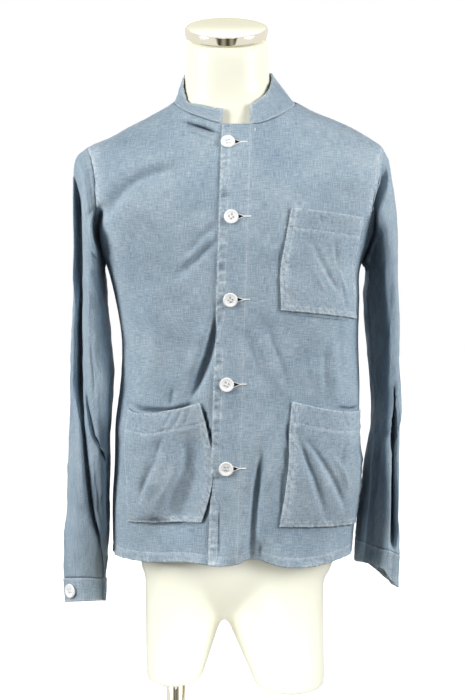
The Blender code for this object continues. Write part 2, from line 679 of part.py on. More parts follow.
def build_stand(chrome, paint):
    """The neck cap, the pole under the right thigh end and the round base."""
    turn = Matrix.Translation(Vector(CAP_CENTRE)) @ Matrix.Rotation(NECK_TILT, 4, "X")
    profile = ((CAP_RADIUS, 0.0), (CAP_RADIUS, CAP_HEIGHT - 0.0012), (CAP_RADIUS - 0.0015, CAP_HEIGHT))
    rings = [[tuple(turn @ Vector(p)) for p in ring(r, r, ROUND_POINTS, (0.0, 0.0, h))] for r, h in profile]
    loft("neck_cap", rings, chrome)
    top = STUMPS["stump_right_body"][3] - SEAM_GAP
    foot = BASE_PROFILE[-1][1] + SEAM_GAP
    pole = [ring(POLE_RADIUS, POLE_RADIUS, 20, (POLE_X, 0.0, z)) for z in (foot, top)]
    loft("stand_pole", pole, chrome)
    base = [ring(radius, radius, ROUND_POINTS, (0.0, 0.0, z)) for radius, z in BASE_PROFILE]
    loft("stand_base", base, paint)


def main():
    for obj in list(bpy.data.objects):
        bpy.data.objects.remove(obj, do_unlink=True)
    cloth = add_material("chambray", (0.16, 0.25, 0.40), 0.9)
    plastic = add_material("white_plastic", (0.85, 0.86, 0.88), 0.3)
    ivory = add_material("ivory_plastic", (0.85, 0.82, 0.74), 0.5)
    chrome = add_material("chrome", (0.75, 0.75, 0.76), 0.12, 1.0)
    paint = add_material("painted_steel", (0.80, 0.80, 0.80), 0.45)
    cuffs = build_jacket(cloth)
    for name in POCKETS:
        build_pocket(name, cloth)
    build_buttons(cuffs, plastic)
    build_form(ivory)
    build_stand(chrome, paint)


main()
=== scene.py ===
import math

import bpy
import numpy as np
from mathutils import Matrix, Vector


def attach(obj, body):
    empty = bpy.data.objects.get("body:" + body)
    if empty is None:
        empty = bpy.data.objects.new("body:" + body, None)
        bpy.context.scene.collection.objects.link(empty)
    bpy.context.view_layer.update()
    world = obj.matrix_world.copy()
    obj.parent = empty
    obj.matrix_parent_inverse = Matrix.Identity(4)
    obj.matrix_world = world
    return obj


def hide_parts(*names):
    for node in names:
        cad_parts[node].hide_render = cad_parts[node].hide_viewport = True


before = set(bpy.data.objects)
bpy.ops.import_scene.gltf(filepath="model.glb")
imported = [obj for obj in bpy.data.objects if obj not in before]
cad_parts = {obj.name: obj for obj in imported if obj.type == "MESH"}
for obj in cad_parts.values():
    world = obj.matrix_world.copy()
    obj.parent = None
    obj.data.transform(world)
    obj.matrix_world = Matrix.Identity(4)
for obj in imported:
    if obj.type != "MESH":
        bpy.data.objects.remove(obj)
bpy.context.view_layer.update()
print("frame loaded")


def hexColour(code):
    parts = [int(code[i:i + 2], 16) / 255 for i in (1, 3, 5)]
    return tuple(c / 12.92 if c <= 0.04045 else ((c + 0.055) / 1.055) ** 2.4 for c in parts) + (1.0,)


def addNode(tree, kind, settings=None, inputs=None, links=None):
    node = tree.nodes.new(kind)
    for name, value in (settings or {}).items():
        setattr(node, name, value)
    for name, value in (inputs or {}).items():
        node.inputs[name].default_value = value
    for name, source in (links or {}).items():
        tree.links.new(source, node.inputs[name])
    return node


def unit(v):
    return v / np.maximum(np.linalg.norm(v, axis=-1, keepdims=True), 1e-12)


def ease(low, high, v):  # 0 below low, 1 above high
    t = np.clip((np.asarray(v, float) - low) / (high - low), 0.0, 1.0)
    return t * t * (3.0 - 2.0 * t)


def between(a, b, c, d, v):  # rises from a to b and falls from c to d
    return ease(a, b, v) * (1.0 - ease(c, d, v))


def rowsAt(table, keys):  # the table's columns on a cubic through its rows
    k = np.clip(np.asarray(keys, float), table[0, 0], table[-1, 0])
    i = np.clip(np.searchsorted(table[:, 0], k) - 1, 0, len(table) - 2)
    slope = np.gradient(table[:, 1:], table[:, 0], axis=0)
    span = (table[i + 1, 0] - table[i, 0])[..., None]
    t = (k - table[i, 0])[..., None] / span
    start = (2 * t ** 3 - 3 * t ** 2 + 1) * table[i, 1:] + (t ** 3 - 2 * t ** 2 + t) * span * slope[i]
    end = (3 * t ** 2 - 2 * t ** 3) * table[i + 1, 1:] + (t ** 3 - t ** 2) * span * slope[i + 1]
    return start + end


def cloudNoise(u, v, seed):  # smooth noise from -1 to 1 on a unit lattice
    u, v = np.asarray(u, float), np.asarray(v, float)
    i, j = np.floor(u), np.floor(v)
    a, b = u - i, v - j
    a, b = a * a * (3 - 2 * a), b * b * (3 - 2 * b)

    def corner(p, q):
        h = np.sin(p * 127.1 + q * 311.7 + seed * 74.7) * 43758.5453
        return 2.0 * (h - np.floor(h)) - 1.0

    low = corner(i, j) * (1 - a) + corner(i + 1, j) * a
    high = corner(i, j + 1) * (1 - a) + corner(i + 1, j + 1) * a
    return low * (1 - b) + high * b


def foldSum(folds, u, v):  # creases along polylines in a flat u, v space; widths are in its units
    total = np.zeros(np.broadcast(u, v).shape)
    for line, width, depth in folds:
        line = np.array(line, float)
        best = np.full(total.shape, 1e9)
        along = np.zeros(total.shape)
        lengths = np.hypot(*np.diff(line, axis=0).T)
        done = np.concatenate([[0.0], np.cumsum(lengths)])
        for n, (p, q) in enumerate(zip(line[:-1], line[1:])):
            d = q - p
            t = np.clip(((u - p[0]) * d[0] + (v - p[1]) * d[1]) / max(d.dot(d), 1e-12), 0.0, 1.0)
            gap = np.hypot(u - p[0] - t * d[0], v - p[1] - t * d[1])
            closer = gap < best
            best = np.where(closer, gap, best)
            along = np.where(closer, (done[n] + t * lengths[n]) / done[-1], along)
        fade = between(0.0, 0.3, 0.7, 1.0, along) * 0.85 + 0.15
        total = total + depth * fade * np.exp(-(best / width) ** 2)
    return total


def addObject(name, data):
    obj = bpy.data.objects.new(name, data)
    bpy.context.scene.collection.objects.link(obj)
    return obj


def bakedMesh(obj, *tools):  # the mesh that an object's modifiers make; the object and its tools go
    bpy.context.view_layer.update()
    made = bpy.data.meshes.new_from_object(obj.evaluated_get(bpy.context.evaluated_depsgraph_get()))
    for extra in (obj, *tools):
        bpy.data.objects.remove(extra, do_unlink=True)
    return made


# camera: front view, level at the chest, with a falling lens
cameraSet = {"distance": 2.45, "height": 0.9878, "lens": 90.0, "fall": 145.0 / 700.0, "clipEnd": 60.0}
camera = addObject("camera", bpy.data.cameras.new("camera"))
camera.data.lens = cameraSet["lens"]
camera.data.shift_y = -cameraSet["fall"]
camera.data.clip_end = cameraSet["clipEnd"]
camera.location = (0.0, -cameraSet["distance"], cameraSet["height"])
camera.rotation_euler = (math.pi / 2, 0.0, 0.0)
bpy.context.scene.camera = camera


# materials

def newMaterial(name):
    material = bpy.data.materials.new(name)
    material.use_nodes = True
    tree = material.node_tree
    return material, tree, tree.nodes["Principled BSDF"]


perMm = 1000.0  # pattern sizes below are in millimetres, the maps and reliefs in metres
grainGloss = (0.85, 1.15)  # how far the grain varies a roughness
grainRelief = 0.0004
chambrayLook = {
    # the darkest colour is painted shade, drawn along seams, creases and pocket edges
    "deep": "#738aa0", "mid": "#97a9b7", "pale": "#bccad2", "worn": "#d3dce1", "paintedShade": "#27323f",
    "slubs": (0.9, 14.0),  # width and length; real threads are 0.3 mm apart, drawn coarser so that they show
    "clouds": {  # size, detail, roughness
        "fade": (85.0, 4.0, 0.6), "grain": (1.7, 1.0, 0.5), "patch": (4.5, 2.0, 0.5)},
    "threadShare": 0.85, "fadeShare": 0.55, "grainShare": 0.35,
    "levels": (0.80, 1.72), "patchLevels": (0.35, 0.62),
    "weave": 0.75, "waveTurn": 20.0, "weaveWander": 0.6, "weaveShare": 0.25, "bump": (0.35, 0.0005),
    "roughness": 0.9, "ior": 1.5, "specular": 0.12,
    "sheen": 0.06, "sheenRoughness": 0.5, "sheenTint": "#dfe6ec",
}


def chambrayMaterial(name, look):
    # chambray: indigo warp and white weft in a plain weave, so it is heathered, dry and palest where rubbed;
    # painted shade makes it darker along seams, creases and edges
    material, tree, shader = newMaterial(name)
    uv = addNode(tree, "ShaderNodeUVMap", {"uv_map": "cloth"}).outputs["UV"]
    wide, long = (perMm / size for size in look["slubs"])
    slubs, lines = [], []
    for axis, scale in (("X", (wide, long, 1.0)), ("Y", (long, wide, 1.0))):  # warp, then weft
        drawn = addNode(tree, "ShaderNodeMapping", inputs={"Scale": scale}, links={"Vector": uv})
        slubs.append(addNode(
            tree, "ShaderNodeTexNoise", {"noise_dimensions": "2D"},
            {"Scale": 1.0, "Detail": 2.0}, {"Vector": drawn.outputs["Vector"]}).outputs["Fac"])
        lines.append(addNode(
            tree, "ShaderNodeTexWave", {"wave_type": "BANDS", "bands_direction": axis},
            {"Scale": perMm / look["weave"] / look["waveTurn"], "Distortion": look["weaveWander"]},
            {"Vector": uv}).outputs["Fac"])
    clouds = {}
    for label, (size, detail, rough) in look["clouds"].items():
        cloud = addNode(tree, "ShaderNodeTexNoise", {"noise_dimensions": "2D"},
                        {"Scale": perMm / size, "Detail": detail, "Roughness": rough}, {"Vector": uv})
        clouds[label] = cloud.outputs["Fac"]
    threads = addNode(tree, "ShaderNodeMath", {"operation": "ADD"}, links={0: slubs[0], 1: slubs[1]})
    faded = addNode(tree, "ShaderNodeMath", {"operation": "MULTIPLY"},
                    {1: look["fadeShare"]}, {0: clouds["fade"]})
    heather = addNode(tree, "ShaderNodeMath", {"operation": "MULTIPLY_ADD"},
                      {1: look["threadShare"]}, {0: threads.outputs["Value"], 2: faded.outputs["Value"]})
    speck = addNode(tree, "ShaderNodeMath", {"operation": "MULTIPLY_ADD"},
                    {1: look["grainShare"]}, {0: clouds["grain"], 2: heather.outputs["Value"]})
    low, high = look["levels"]
    level = addNode(tree, "ShaderNodeMapRange",
                    inputs={"From Min": low, "From Max": high}, links={"Value": speck.outputs["Value"]})
    ramp = addNode(tree, "ShaderNodeValToRGB", links={"Fac": level.outputs["Result"]})
    ramp.color_ramp.elements[0].color = hexColour(look["deep"])
    ramp.color_ramp.elements[1].color = hexColour(look["pale"])
    ramp.color_ramp.elements.new(0.5).color = hexColour(look["mid"])
    wearAndShade = addNode(tree, "ShaderNodeAttribute", {"attribute_name": "wearAndShade"})
    low, high = look["patchLevels"]
    patchy = addNode(tree, "ShaderNodeMapRange",
                     inputs={"From Min": low, "From Max": high}, links={"Value": clouds["patch"]})
    rubbed = addNode(tree, "ShaderNodeMath", {"operation": "MULTIPLY"},
                     links={0: wearAndShade.outputs["Fac"], 1: patchy.outputs["Result"]})
    colour = addNode(tree, "ShaderNodeMix", {"data_type": "RGBA"}, links={
        "Factor": rubbed.outputs["Value"], "A": ramp.outputs["Color"]})
    colour.inputs["B"].default_value = hexColour(look["worn"])
    grooveAndShade = addNode(tree, "ShaderNodeMapRange", inputs={  # painted shade: values below nothing darken the cloth along seams, creases and edges
        "From Min": 0.0, "From Max": -1.0}, links={"Value": wearAndShade.outputs["Fac"]})
    paintedShadeMix = addNode(tree, "ShaderNodeMix", {"data_type": "RGBA"}, links={
        "Factor": grooveAndShade.outputs["Result"], "A": colour.outputs["Result"]})
    paintedShadeMix.inputs["B"].default_value = hexColour(look["paintedShade"])
    weave = addNode(tree, "ShaderNodeMath", {"operation": "MAXIMUM"}, links={0: lines[0], 1: lines[1]})
    height = addNode(tree, "ShaderNodeMath", {"operation": "MULTIPLY_ADD"},
                     {1: look["weaveShare"]}, {0: weave.outputs["Value"], 2: speck.outputs["Value"]})
    bump = addNode(tree, "ShaderNodeBump", inputs={"Strength": look["bump"][0], "Distance": look["bump"][1]},
                   links={"Height": height.outputs["Value"]})
    tree.links.new(paintedShadeMix.outputs["Result"], shader.inputs["Base Color"])
    tree.links.new(bump.outputs["Normal"], shader.inputs["Normal"])
    shader.inputs["Roughness"].default_value = look["roughness"]
    shader.inputs["IOR"].default_value = look["ior"]
    shader.inputs["Specular IOR Level"].default_value = look["specular"]
    shader.inputs["Sheen Weight"].default_value = look["sheen"]
    shader.inputs["Sheen Roughness"].default_value = look["sheenRoughness"]
    shader.inputs["Sheen Tint"].default_value = hexColour(look["sheenTint"])
    return material


def grainMaterial(name, colour, spread, size, roughness, metallic=0.0, bump=0.0, ior=1.5):
    # one surface with a faint cloud in its colour and a fine grain in its gloss
    material, tree, shader = newMaterial(name)
    place = addNode(tree, "ShaderNodeTexCoord").outputs["Object"]
    cloud = addNode(tree, "ShaderNodeTexNoise", inputs={"Scale": perMm / size, "Detail": 3.0},
                    links={"Vector": place})
    mix = addNode(tree, "ShaderNodeMix", {"data_type": "RGBA"}, links={"Factor": cloud.outputs["Fac"]})
    mix.inputs["A"].default_value = hexColour(colour)
    mix.inputs["B"].default_value = hexColour(spread)
    gloss = addNode(tree, "ShaderNodeMapRange", inputs={
        "To Min": roughness * grainGloss[0], "To Max": roughness * grainGloss[1]},
        links={"Value": cloud.outputs["Fac"]})
    tree.links.new(mix.outputs["Result"], shader.inputs["Base Color"])
    tree.links.new(gloss.outputs["Result"], shader.inputs["Roughness"])
    shader.inputs["Metallic"].default_value = metallic
    if not metallic:
        shader.inputs["IOR"].default_value = ior
    if bump:
        relief = addNode(tree, "ShaderNodeBump", inputs={"Strength": bump, "Distance": grainRelief},
                         links={"Height": cloud.outputs["Fac"]})
        tree.links.new(relief.outputs["Normal"], shader.inputs["Normal"])
    return material


chambray = chambrayMaterial("chambrayWashed", chambrayLook)
cottonThread = grainMaterial("cottonThreadPale", "#bccad5", "#dae3ea", 1.2, 0.85, bump=0.4)  # spun, matt
whiteThread = grainMaterial("cottonThreadWhite", "#f2f2ee", "#fbfbf8", 1.2, 0.8, bump=0.4)
slitDark = grainMaterial("buttonholeShade", "#0b0e12", "#141a21", 2.0, 0.95)  # painted shade inside the cut
buttonResin = grainMaterial("polyesterButton", "#fbfbf9", "#fefefd", 6.0, 0.22, ior=1.55)  # tumbled glossy
formShell = grainMaterial("fibreglassIvory", "#f5f3df", "#f8f7e6", 60.0, 0.42, bump=0.03)  # satin gelcoat
chromePlate = grainMaterial("chromePlate", "#e4dfca", "#ece7d6", 30.0, 0.09, metallic=1.0)
capTop = grainMaterial("chromeCapDisc", "#e6e3c6", "#efecd2", 25.0, 0.30, metallic=1.0)  # brushed by handling
basePaint = grainMaterial("powderCoatPale", "#dcdcd8", "#e6e6e2", 3.0, 0.5, bump=0.15)
print("materials made")


# cloth pieces: each is a grid of points with its own normals, a flat map in metres and a value for wear and
# painted shade

def gridNormals(points, closed=False):
    if closed:
        across = np.roll(points, -1, axis=1) - np.roll(points, 1, axis=1)
    else:
        across = np.gradient(points, axis=1)
    return unit(np.cross(across, np.gradient(points, axis=0)))


def runLength(points, axis=0):  # running length from the first point on
    steps = np.linalg.norm(np.diff(points, axis=axis), axis=-1)
    return np.concatenate([np.zeros_like(steps.take([0], axis)), np.cumsum(steps, axis=axis)], axis=axis)


def gridSpans(points):  # running length along each row, and up each column
    return runLength(points, 1), runLength(points, 0)


def closeLoop(grid):  # a grid round a tube, with its first column again at the end
    return np.concatenate([grid, grid[:, :1]], axis=1)


def tubeNormals(points):  # normals that point out of a tube, and whether its grid ran the other way
    normals = gridNormals(points, closed=True)
    outward = np.sign((normals * (points - points.mean(axis=1, keepdims=True))).sum())
    return normals * outward, outward < 0


def clothObject(name, points, wearAndShade, thickness, grain, closed=False, flip=False, level=False):
    rows, cols = points.shape[:2]
    loop = closeLoop(points) if closed else points
    u, v = gridSpans(loop)
    u = u - u[:, grain][:, None]  # the map runs straight down this column, the grain line
    if level:
        v = loop[..., 2]
    r, c = np.meshgrid(np.arange(rows - 1), np.arange(loop.shape[1] - 1), indexing="ij")
    corners = [(r, c), (r, c + 1), (r + 1, c + 1), (r + 1, c)]
    if flip:
        corners = corners[::-1]
    faces = np.stack([a * cols + b % cols for a, b in corners], axis=-1).reshape(-1, 4)
    flat = np.stack([np.stack([u[a, b], v[a, b]], axis=-1) for a, b in corners], axis=2).reshape(-1, 2)
    mesh = bpy.data.meshes.new(name)
    mesh.from_pydata(points.reshape(-1, 3).tolist(), [], faces.tolist())
    mesh.uv_layers.new(name="cloth").data.foreach_set("uv", flat.ravel())
    # above nothing the cloth is paler where worn, below nothing it is darker with painted shade
    mesh.attributes.new("wearAndShade", "FLOAT", "POINT").data.foreach_set("value", np.clip(wearAndShade, -1, 1).ravel())
    mesh.polygons.foreach_set("use_smooth", np.ones(len(faces), bool))
    mesh.materials.append(chambray)
    obj = addObject(name, mesh)
    wall = obj.modifiers.new("cloth", "SOLIDIFY")
    wall.thickness = thickness
    wall.offset = -1.0
    return obj


def sew(obj, nodes):
    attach(obj, "root")
    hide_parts(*nodes)


stitchRows = []  # points and normals of every row of stitching, made into thread further down


def edgeLine(points, normals, distance, edge, first=0, last=None):
    # the line on a grid that runs this far inside one of its edges
    if edge in ("left", "right"):
        p, n = points[first:last], normals[first:last]
    else:
        p, n = points.transpose(1, 0, 2)[first:last], normals.transpose(1, 0, 2)[first:last]
    if edge in ("right", "top"):
        p, n = p[:, ::-1], n[:, ::-1]
    span = runLength(p, 1)
    line, up = [], []
    for s, row, rowUp in zip(span, p, n):
        k = int(np.clip(np.searchsorted(s, distance) - 1, 0, len(s) - 2))
        t = min(max((distance - s[k]) / max(s[k + 1] - s[k], 1e-9), 0.0), 1.0)
        line.append(row[k] * (1 - t) + row[k + 1] * t)
        up.append(rowUp[k] * (1 - t) + rowUp[k + 1] * t)
    return np.array(line), np.array(up)


def stitch(points, normals, distance, edge, first=0, last=None):
    stitchRows.append(edgeLine(points, normals, distance, edge, first, last))


# body: rings of the torso, the same as in the solids

bodyRings = np.array([
    # z, half width, front depth, back depth, squareness, centre x
    [0.470, 0.1650, 0.113, 0.113, 2.4, 0.0000],
    [0.535, 0.1680, 0.115, 0.115, 2.4, 0.0010],
    [0.575, 0.1708, 0.116, 0.116, 2.4, 0.0035],
    [0.631, 0.1720, 0.117, 0.117, 2.4, 0.0077],
    [0.687, 0.1700, 0.117, 0.116, 2.4, 0.0070],
    [0.743, 0.1666, 0.116, 0.112, 2.4, 0.0105],
    [0.799, 0.1650, 0.116, 0.110, 2.4, 0.0105],
    [0.855, 0.1700, 0.118, 0.112, 2.4, 0.0070],
    [0.897, 0.1755, 0.119, 0.117, 2.4, 0.0021],
    [0.939, 0.1910, 0.120, 0.120, 2.4, 0.0018],
    [0.995, 0.2100, 0.117, 0.122, 2.4, 0.0031],
    [1.028, 0.2130, 0.109, 0.120, 2.4, 0.0060],
    [1.051, 0.2110, 0.098, 0.115, 2.3, 0.0040],
    [1.069, 0.2044, 0.088, 0.110, 2.2, 0.0040],
    [1.082, 0.1806, 0.081, 0.106, 2.1, 0.0095],
    [1.096, 0.1561, 0.074, 0.101, 2.0, 0.0100],
    [1.107, 0.1330, 0.069, 0.096, 2.0, 0.0085],
    [1.117, 0.1110, 0.066, 0.091, 2.0, 0.0050],
    [1.128, 0.0910, 0.064, 0.085, 2.0, 0.0040],
    [1.138, 0.0784, 0.064, 0.080, 2.0, 0.0000],
    [1.152, 0.0740, 0.064, 0.077, 2.0, -0.0020],
])
neckline = np.array([
    # degrees from the front, z
    [0.0, 1.0990], [9.0, 1.1000], [22.0, 1.1080], [44.0, 1.1200],
    [62.0, 1.1270], [90.0, 1.1340], [135.0, 1.1380], [180.0, 1.1400],
])
bodyCut = {
    "hem": 0.507, "underarm": 0.908, "tip": 1.069, "armDepth": 0.062, "frontTuck": 0.50, "backTuck": 0.25,
    "placket": 0.0385, "lapLift": 0.0024, "cloth": 0.0011,
    "lowerRows": 214, "armRows": 64, "neckRows": 44, "bandCols": 20, "frontCols": 74, "backCols": 140,
    "edgeBand": 0.0115, "hemBand": 0.0125, "edgeRow": 0.0018, "edgeMiddle": 0.006, "edgeRub": 0.011,
    "armRub": 0.005, "armFade": (4, 6), "lapEdge": 0.002, "seamRows": (0.0020, 0.0085),
    "lapFade": (0.044, 0.080), "hemFade": 0.07, "sideFade": 0.35, "tuckFade": (1.5, 2.4),
    "collarFade": (0.050, 0.085),
    "ripples": [(0.0015, 0.030, 0.055, 3), (0.0008, 0.013, 0.020, 5)],  # height, width, length, seed
    "armTuck": {"heights": (0.915, 0.940, 0.970, 0.992), "depth": 0.026, "from": 0.0110, "reach": 0.0070},
    "edgeLine": (-0.0145, 0.0309, 1.0955),  # x of the buttoned edge, drift a metre, z it starts at
}
frontFolds = [
    # x, z along each crease, width, depth
    ([(-0.0215, 0.850), (-0.0262, 0.816), (-0.0340, 0.784), (-0.0465, 0.752), (-0.0610, 0.718)],
     0.0062, -0.0165),
    ([(-0.0320, 0.836), (-0.0450, 0.796), (-0.0620, 0.752)], 0.0090, 0.0050),
    ([(-0.0220, 1.066), (-0.0900, 1.056), (-0.1350, 1.044), (-0.1650, 1.022)], 0.0110, 0.0050),
    ([(-0.0600, 1.037), (-0.1050, 1.029), (-0.1400, 1.014), (-0.1620, 0.992), (-0.1740, 0.966)],
     0.0085, -0.0105),
    ([(-0.0190, 0.966), (-0.0680, 0.916)], 0.0050, -0.0040),
    ([(-0.0200, 0.944), (-0.0780, 0.888)], 0.0055, -0.0046),
    ([(-0.0200, 0.955), (-0.0720, 0.903)], 0.0050, 0.0030),
    ([(-0.0300, 0.990), (-0.0560, 0.972)], 0.0060, -0.0016),
    ([(-0.0800, 0.744), (-0.0840, 0.716)], 0.0035, -0.0040),
    ([(-0.0180, 0.590), (-0.0186, 0.508)], 0.0016, -0.0022),
    ([(0.0394, 0.6720), (0.0340, 0.6210), (0.0285, 0.5700), (0.0265, 0.5200), (0.0260, 0.4800)],
     0.0055, -0.0125),
    ([(0.0510, 0.6600), (0.0450, 0.6000), (0.0420, 0.5300)], 0.0080, 0.0040),
    ([(0.0360, 0.5420), (0.0385, 0.5080)], 0.0030, -0.0060),
    ([(0.0200, 0.5400), (0.0180, 0.5080)], 0.0045, -0.0040),
    ([(-0.0180, 0.4990), (0.0200, 0.4990), (0.0580, 0.5010)], 0.0190, -0.0110),
    ([(0.0418, 0.8410), (0.0600, 0.7900), (0.0807, 0.7310)], 0.0056, -0.0042),
    ([(0.0300, 0.8350), (0.0645, 0.7310)], 0.0056, 0.0034),
    ([(0.0153, 0.8280), (0.0483, 0.7310)], 0.0052, -0.0040),
    ([(0.1250, 1.0300), (0.1680, 0.9950)], 0.0120, -0.0024),
    ([(0.0300, 1.0700), (0.1000, 1.0560)], 0.0120, 0.0014),
    ([(-0.0700, 1.1010), (-0.0440, 1.0935), (-0.0180, 1.0850)], 0.0034, -0.0075),
    ([(-0.0640, 1.0930), (-0.0420, 1.0850), (-0.0200, 1.0770)], 0.0034, 0.0036),
    ([(-0.1400, 0.7190), (-0.1207, 0.7115), (-0.0887, 0.7110), (-0.0647, 0.7176), (-0.0460, 0.7255)],
     0.0030, -0.0070),
    ([(-0.0410, 0.7200), (-0.0345, 0.6940), (-0.0262, 0.6650)], 0.0022, -0.0110),
    ([(-0.0290, 0.6160), (-0.0330, 0.5876), (-0.0400, 0.5630)], 0.0022, -0.0110),
    ([(0.0100, 0.9600), (0.0600, 0.9100)], 0.0090, 0.0012),
    ([(-0.1100, 0.9000), (-0.0950, 0.7600)], 0.0130, 0.0026),
    ([(-0.1320, 0.8800), (-0.1200, 0.7700)], 0.0090, -0.0024),
    ([(0.1455, 0.8280), (0.1521, 0.7310)], 0.0046, -0.0034),
    ([(0.1229, 0.7980), (0.1261, 0.7310)], 0.0046, -0.0036),
    ([(0.1340, 0.8200), (0.1390, 0.7310)], 0.0046, 0.0030),
    ([(0.0960, 0.8050), (0.1060, 0.7310)], 0.0052, -0.0028),
    ([(-0.0640, 1.0800), (-0.0250, 1.0700)], 0.0050, -0.0022),
]
sunkFolds = [  # deep folds that a pocket follows too
    ([(-0.0500, 0.7040), (-0.0530, 0.6640), (-0.0570, 0.6210), (-0.0760, 0.5640), (-0.1040, 0.5340)],
     0.0200, -0.0115),
]
hemDrop = np.array([  # x, how far the hem hangs under its level line
    [-0.200, 0.0], [-0.110, 0.0], [-0.060, 0.003], [-0.033, 0.0], [0.008, 0.0], [0.018, 0.0048],
    [0.034, 0.0052], [0.058, -0.002], [0.094, -0.0062], [0.120, -0.0050], [0.139, -0.002], [0.200, 0.0]])
paintedSeamShade = [  # painted shade, partly dye kept in seams: x, z along seams, creases and pocket edges drawn darker, width, strength
    ([(-0.0745, 1.1040), (-0.0440, 1.0945), (-0.0160, 1.0850)], 0.0017, -0.55),
    ([(-0.0590, 1.0995), (-0.0420, 1.0935), (-0.0200, 1.0850)], 0.0016, -0.60),
    ([(0.0770, 0.9880), (0.0630, 0.8450)], 0.0014, -0.70),
    ([(0.0630, 0.8440), (0.1700, 0.8290)], 0.0012, -0.55),
    ([(0.0778, 0.7290), (0.0609, 0.5600)], 0.0016, -0.80),
    ([(0.0620, 0.5595), (0.1690, 0.5490)], 0.0012, -0.50),
    ([(0.1400, 0.7160), (0.1600, 0.7110), (0.1740, 0.7120)], 0.0018, -0.80),
    ([(-0.1420, 0.7190), (-0.1207, 0.7110), (-0.0887, 0.7100), (-0.0647, 0.7170), (-0.0450, 0.7260)],
     0.0020, -0.80),
    ([(-0.0410, 0.7200), (-0.0345, 0.6940), (-0.0262, 0.6650)], 0.0018, -0.95),
    ([(-0.0290, 0.6160), (-0.0330, 0.5876), (-0.0400, 0.5630)], 0.0018, -0.95),
    ([(-0.1430, 0.7150), (-0.1425, 0.5600)], 0.0012, -0.50),
    ([(-0.1410, 0.5560), (-0.0420, 0.5610)], 0.0012, -0.45),
    ([(-0.0180, 0.6000), (-0.0186, 0.5080)], 0.0013, -0.75),
    ([(0.0355, 0.5420), (0.0385, 0.5050)], 0.0018, -0.60),
    ([(0.0200, 0.5300), (0.0180, 0.5050)], 0.0018, -0.50),
]
backFolds = [
    ([(-0.080, 1.000), (-0.100, 0.640)], 0.020, 0.0040),
    ([(-0.050, 0.960), (-0.066, 0.620)], 0.014, -0.0026),
    ([(0.085, 0.990), (0.105, 0.620)], 0.020, 0.0040),
    ([(0.060, 0.940), (0.074, 0.640)], 0.014, -0.0026),
    ([(-0.020, 0.760), (0.030, 0.560)], 0.018, -0.0034),
    ([(-0.150, 0.900), (-0.070, 0.850)], 0.009, -0.0024),
    ([(0.150, 0.905), (0.075, 0.862)], 0.009, -0.0024),
    ([(-0.120, 1.060), (0.000, 1.075), (0.120, 1.062)], 0.014, 0.0014),
]


def edgeX(z):  # the buttoned edge drifts to the wearer's right on the way down
    x, drift, top = bodyCut["edgeLine"]
    return x - drift * (top - z)


def bodyPoint(angle, z, lap=False, folded=True):
    angle, z = np.broadcast_arrays(np.asarray(angle, float), np.asarray(z, float))
    half, front, back, square, centre = np.moveaxis(rowsAt(bodyRings, z), -1, 0)
    sine, cosine = np.sin(angle), np.cos(angle)
    power = 2.0 / square
    depth = np.where(cosine > 0, front, back)
    x = centre + half * np.sign(sine) * np.abs(sine) ** power
    y = -depth * np.sign(cosine) * np.abs(cosine) ** power
    outX = np.sign(sine) * np.abs(sine) ** (2.0 - power) / half
    outY = -np.sign(cosine) * np.abs(cosine) ** (2.0 - power) / depth
    size = np.hypot(outX, outY)
    creases = sunkFolds + (frontFolds if folded else [])
    lift = np.where(cosine > 0, foldSum(creases, x, z), foldSum(backFolds, x, z))
    for high, wide, tall, seed in bodyCut["ripples"]:
        lift = lift + high * cloudNoise(x / wide, z / tall, seed)
    lift = lift * ease(0.0, bodyCut["sideFade"], np.abs(cosine))  # the side seams stay smooth
    if lap:
        lift = lift + bodyCut["lapLift"] * (1.0 - ease(*bodyCut["lapFade"], x - edgeX(z)))
    return np.stack([x + outX / size * lift, y + outY / size * lift, z], axis=-1)


def angleAt(x, z):
    half, _, _, square, centre = np.moveaxis(rowsAt(bodyRings, z), -1, 0)
    share = np.clip((np.asarray(x) - centre) / half, -0.995, 0.995)
    return np.arcsin(np.sign(share) * np.abs(share) ** (square / 2.0))


def sideAngle(z, reach, back=False):
    _, front, rear, square, _ = np.moveaxis(rowsAt(bodyRings, z), -1, 0)
    cosine = (np.maximum(reach, 1e-6) / (rear if back else front)) ** (square / 2.0)
    return math.pi - np.arccos(cosine) if back else np.arccos(cosine)


def neckZ(angle):
    turn = np.abs(np.degrees((np.asarray(angle, float) + math.pi) % (2.0 * math.pi) - math.pi))
    return rowsAt(neckline, turn)[..., 0]


def armRow(turn, back):  # height and reach of the armhole, turn 0 at the shoulder tip and pi at the underarm
    middle = 0.5 * (bodyCut["tip"] + bodyCut["underarm"])
    half = 0.5 * (bodyCut["tip"] - bodyCut["underarm"])
    tuck = bodyCut["backTuck" if back else "frontTuck"] * ease(*bodyCut["tuckFade"], turn)
    return middle + half * np.cos(turn), bodyCut["armDepth"] * np.sin(turn) * (1.0 - tuck)


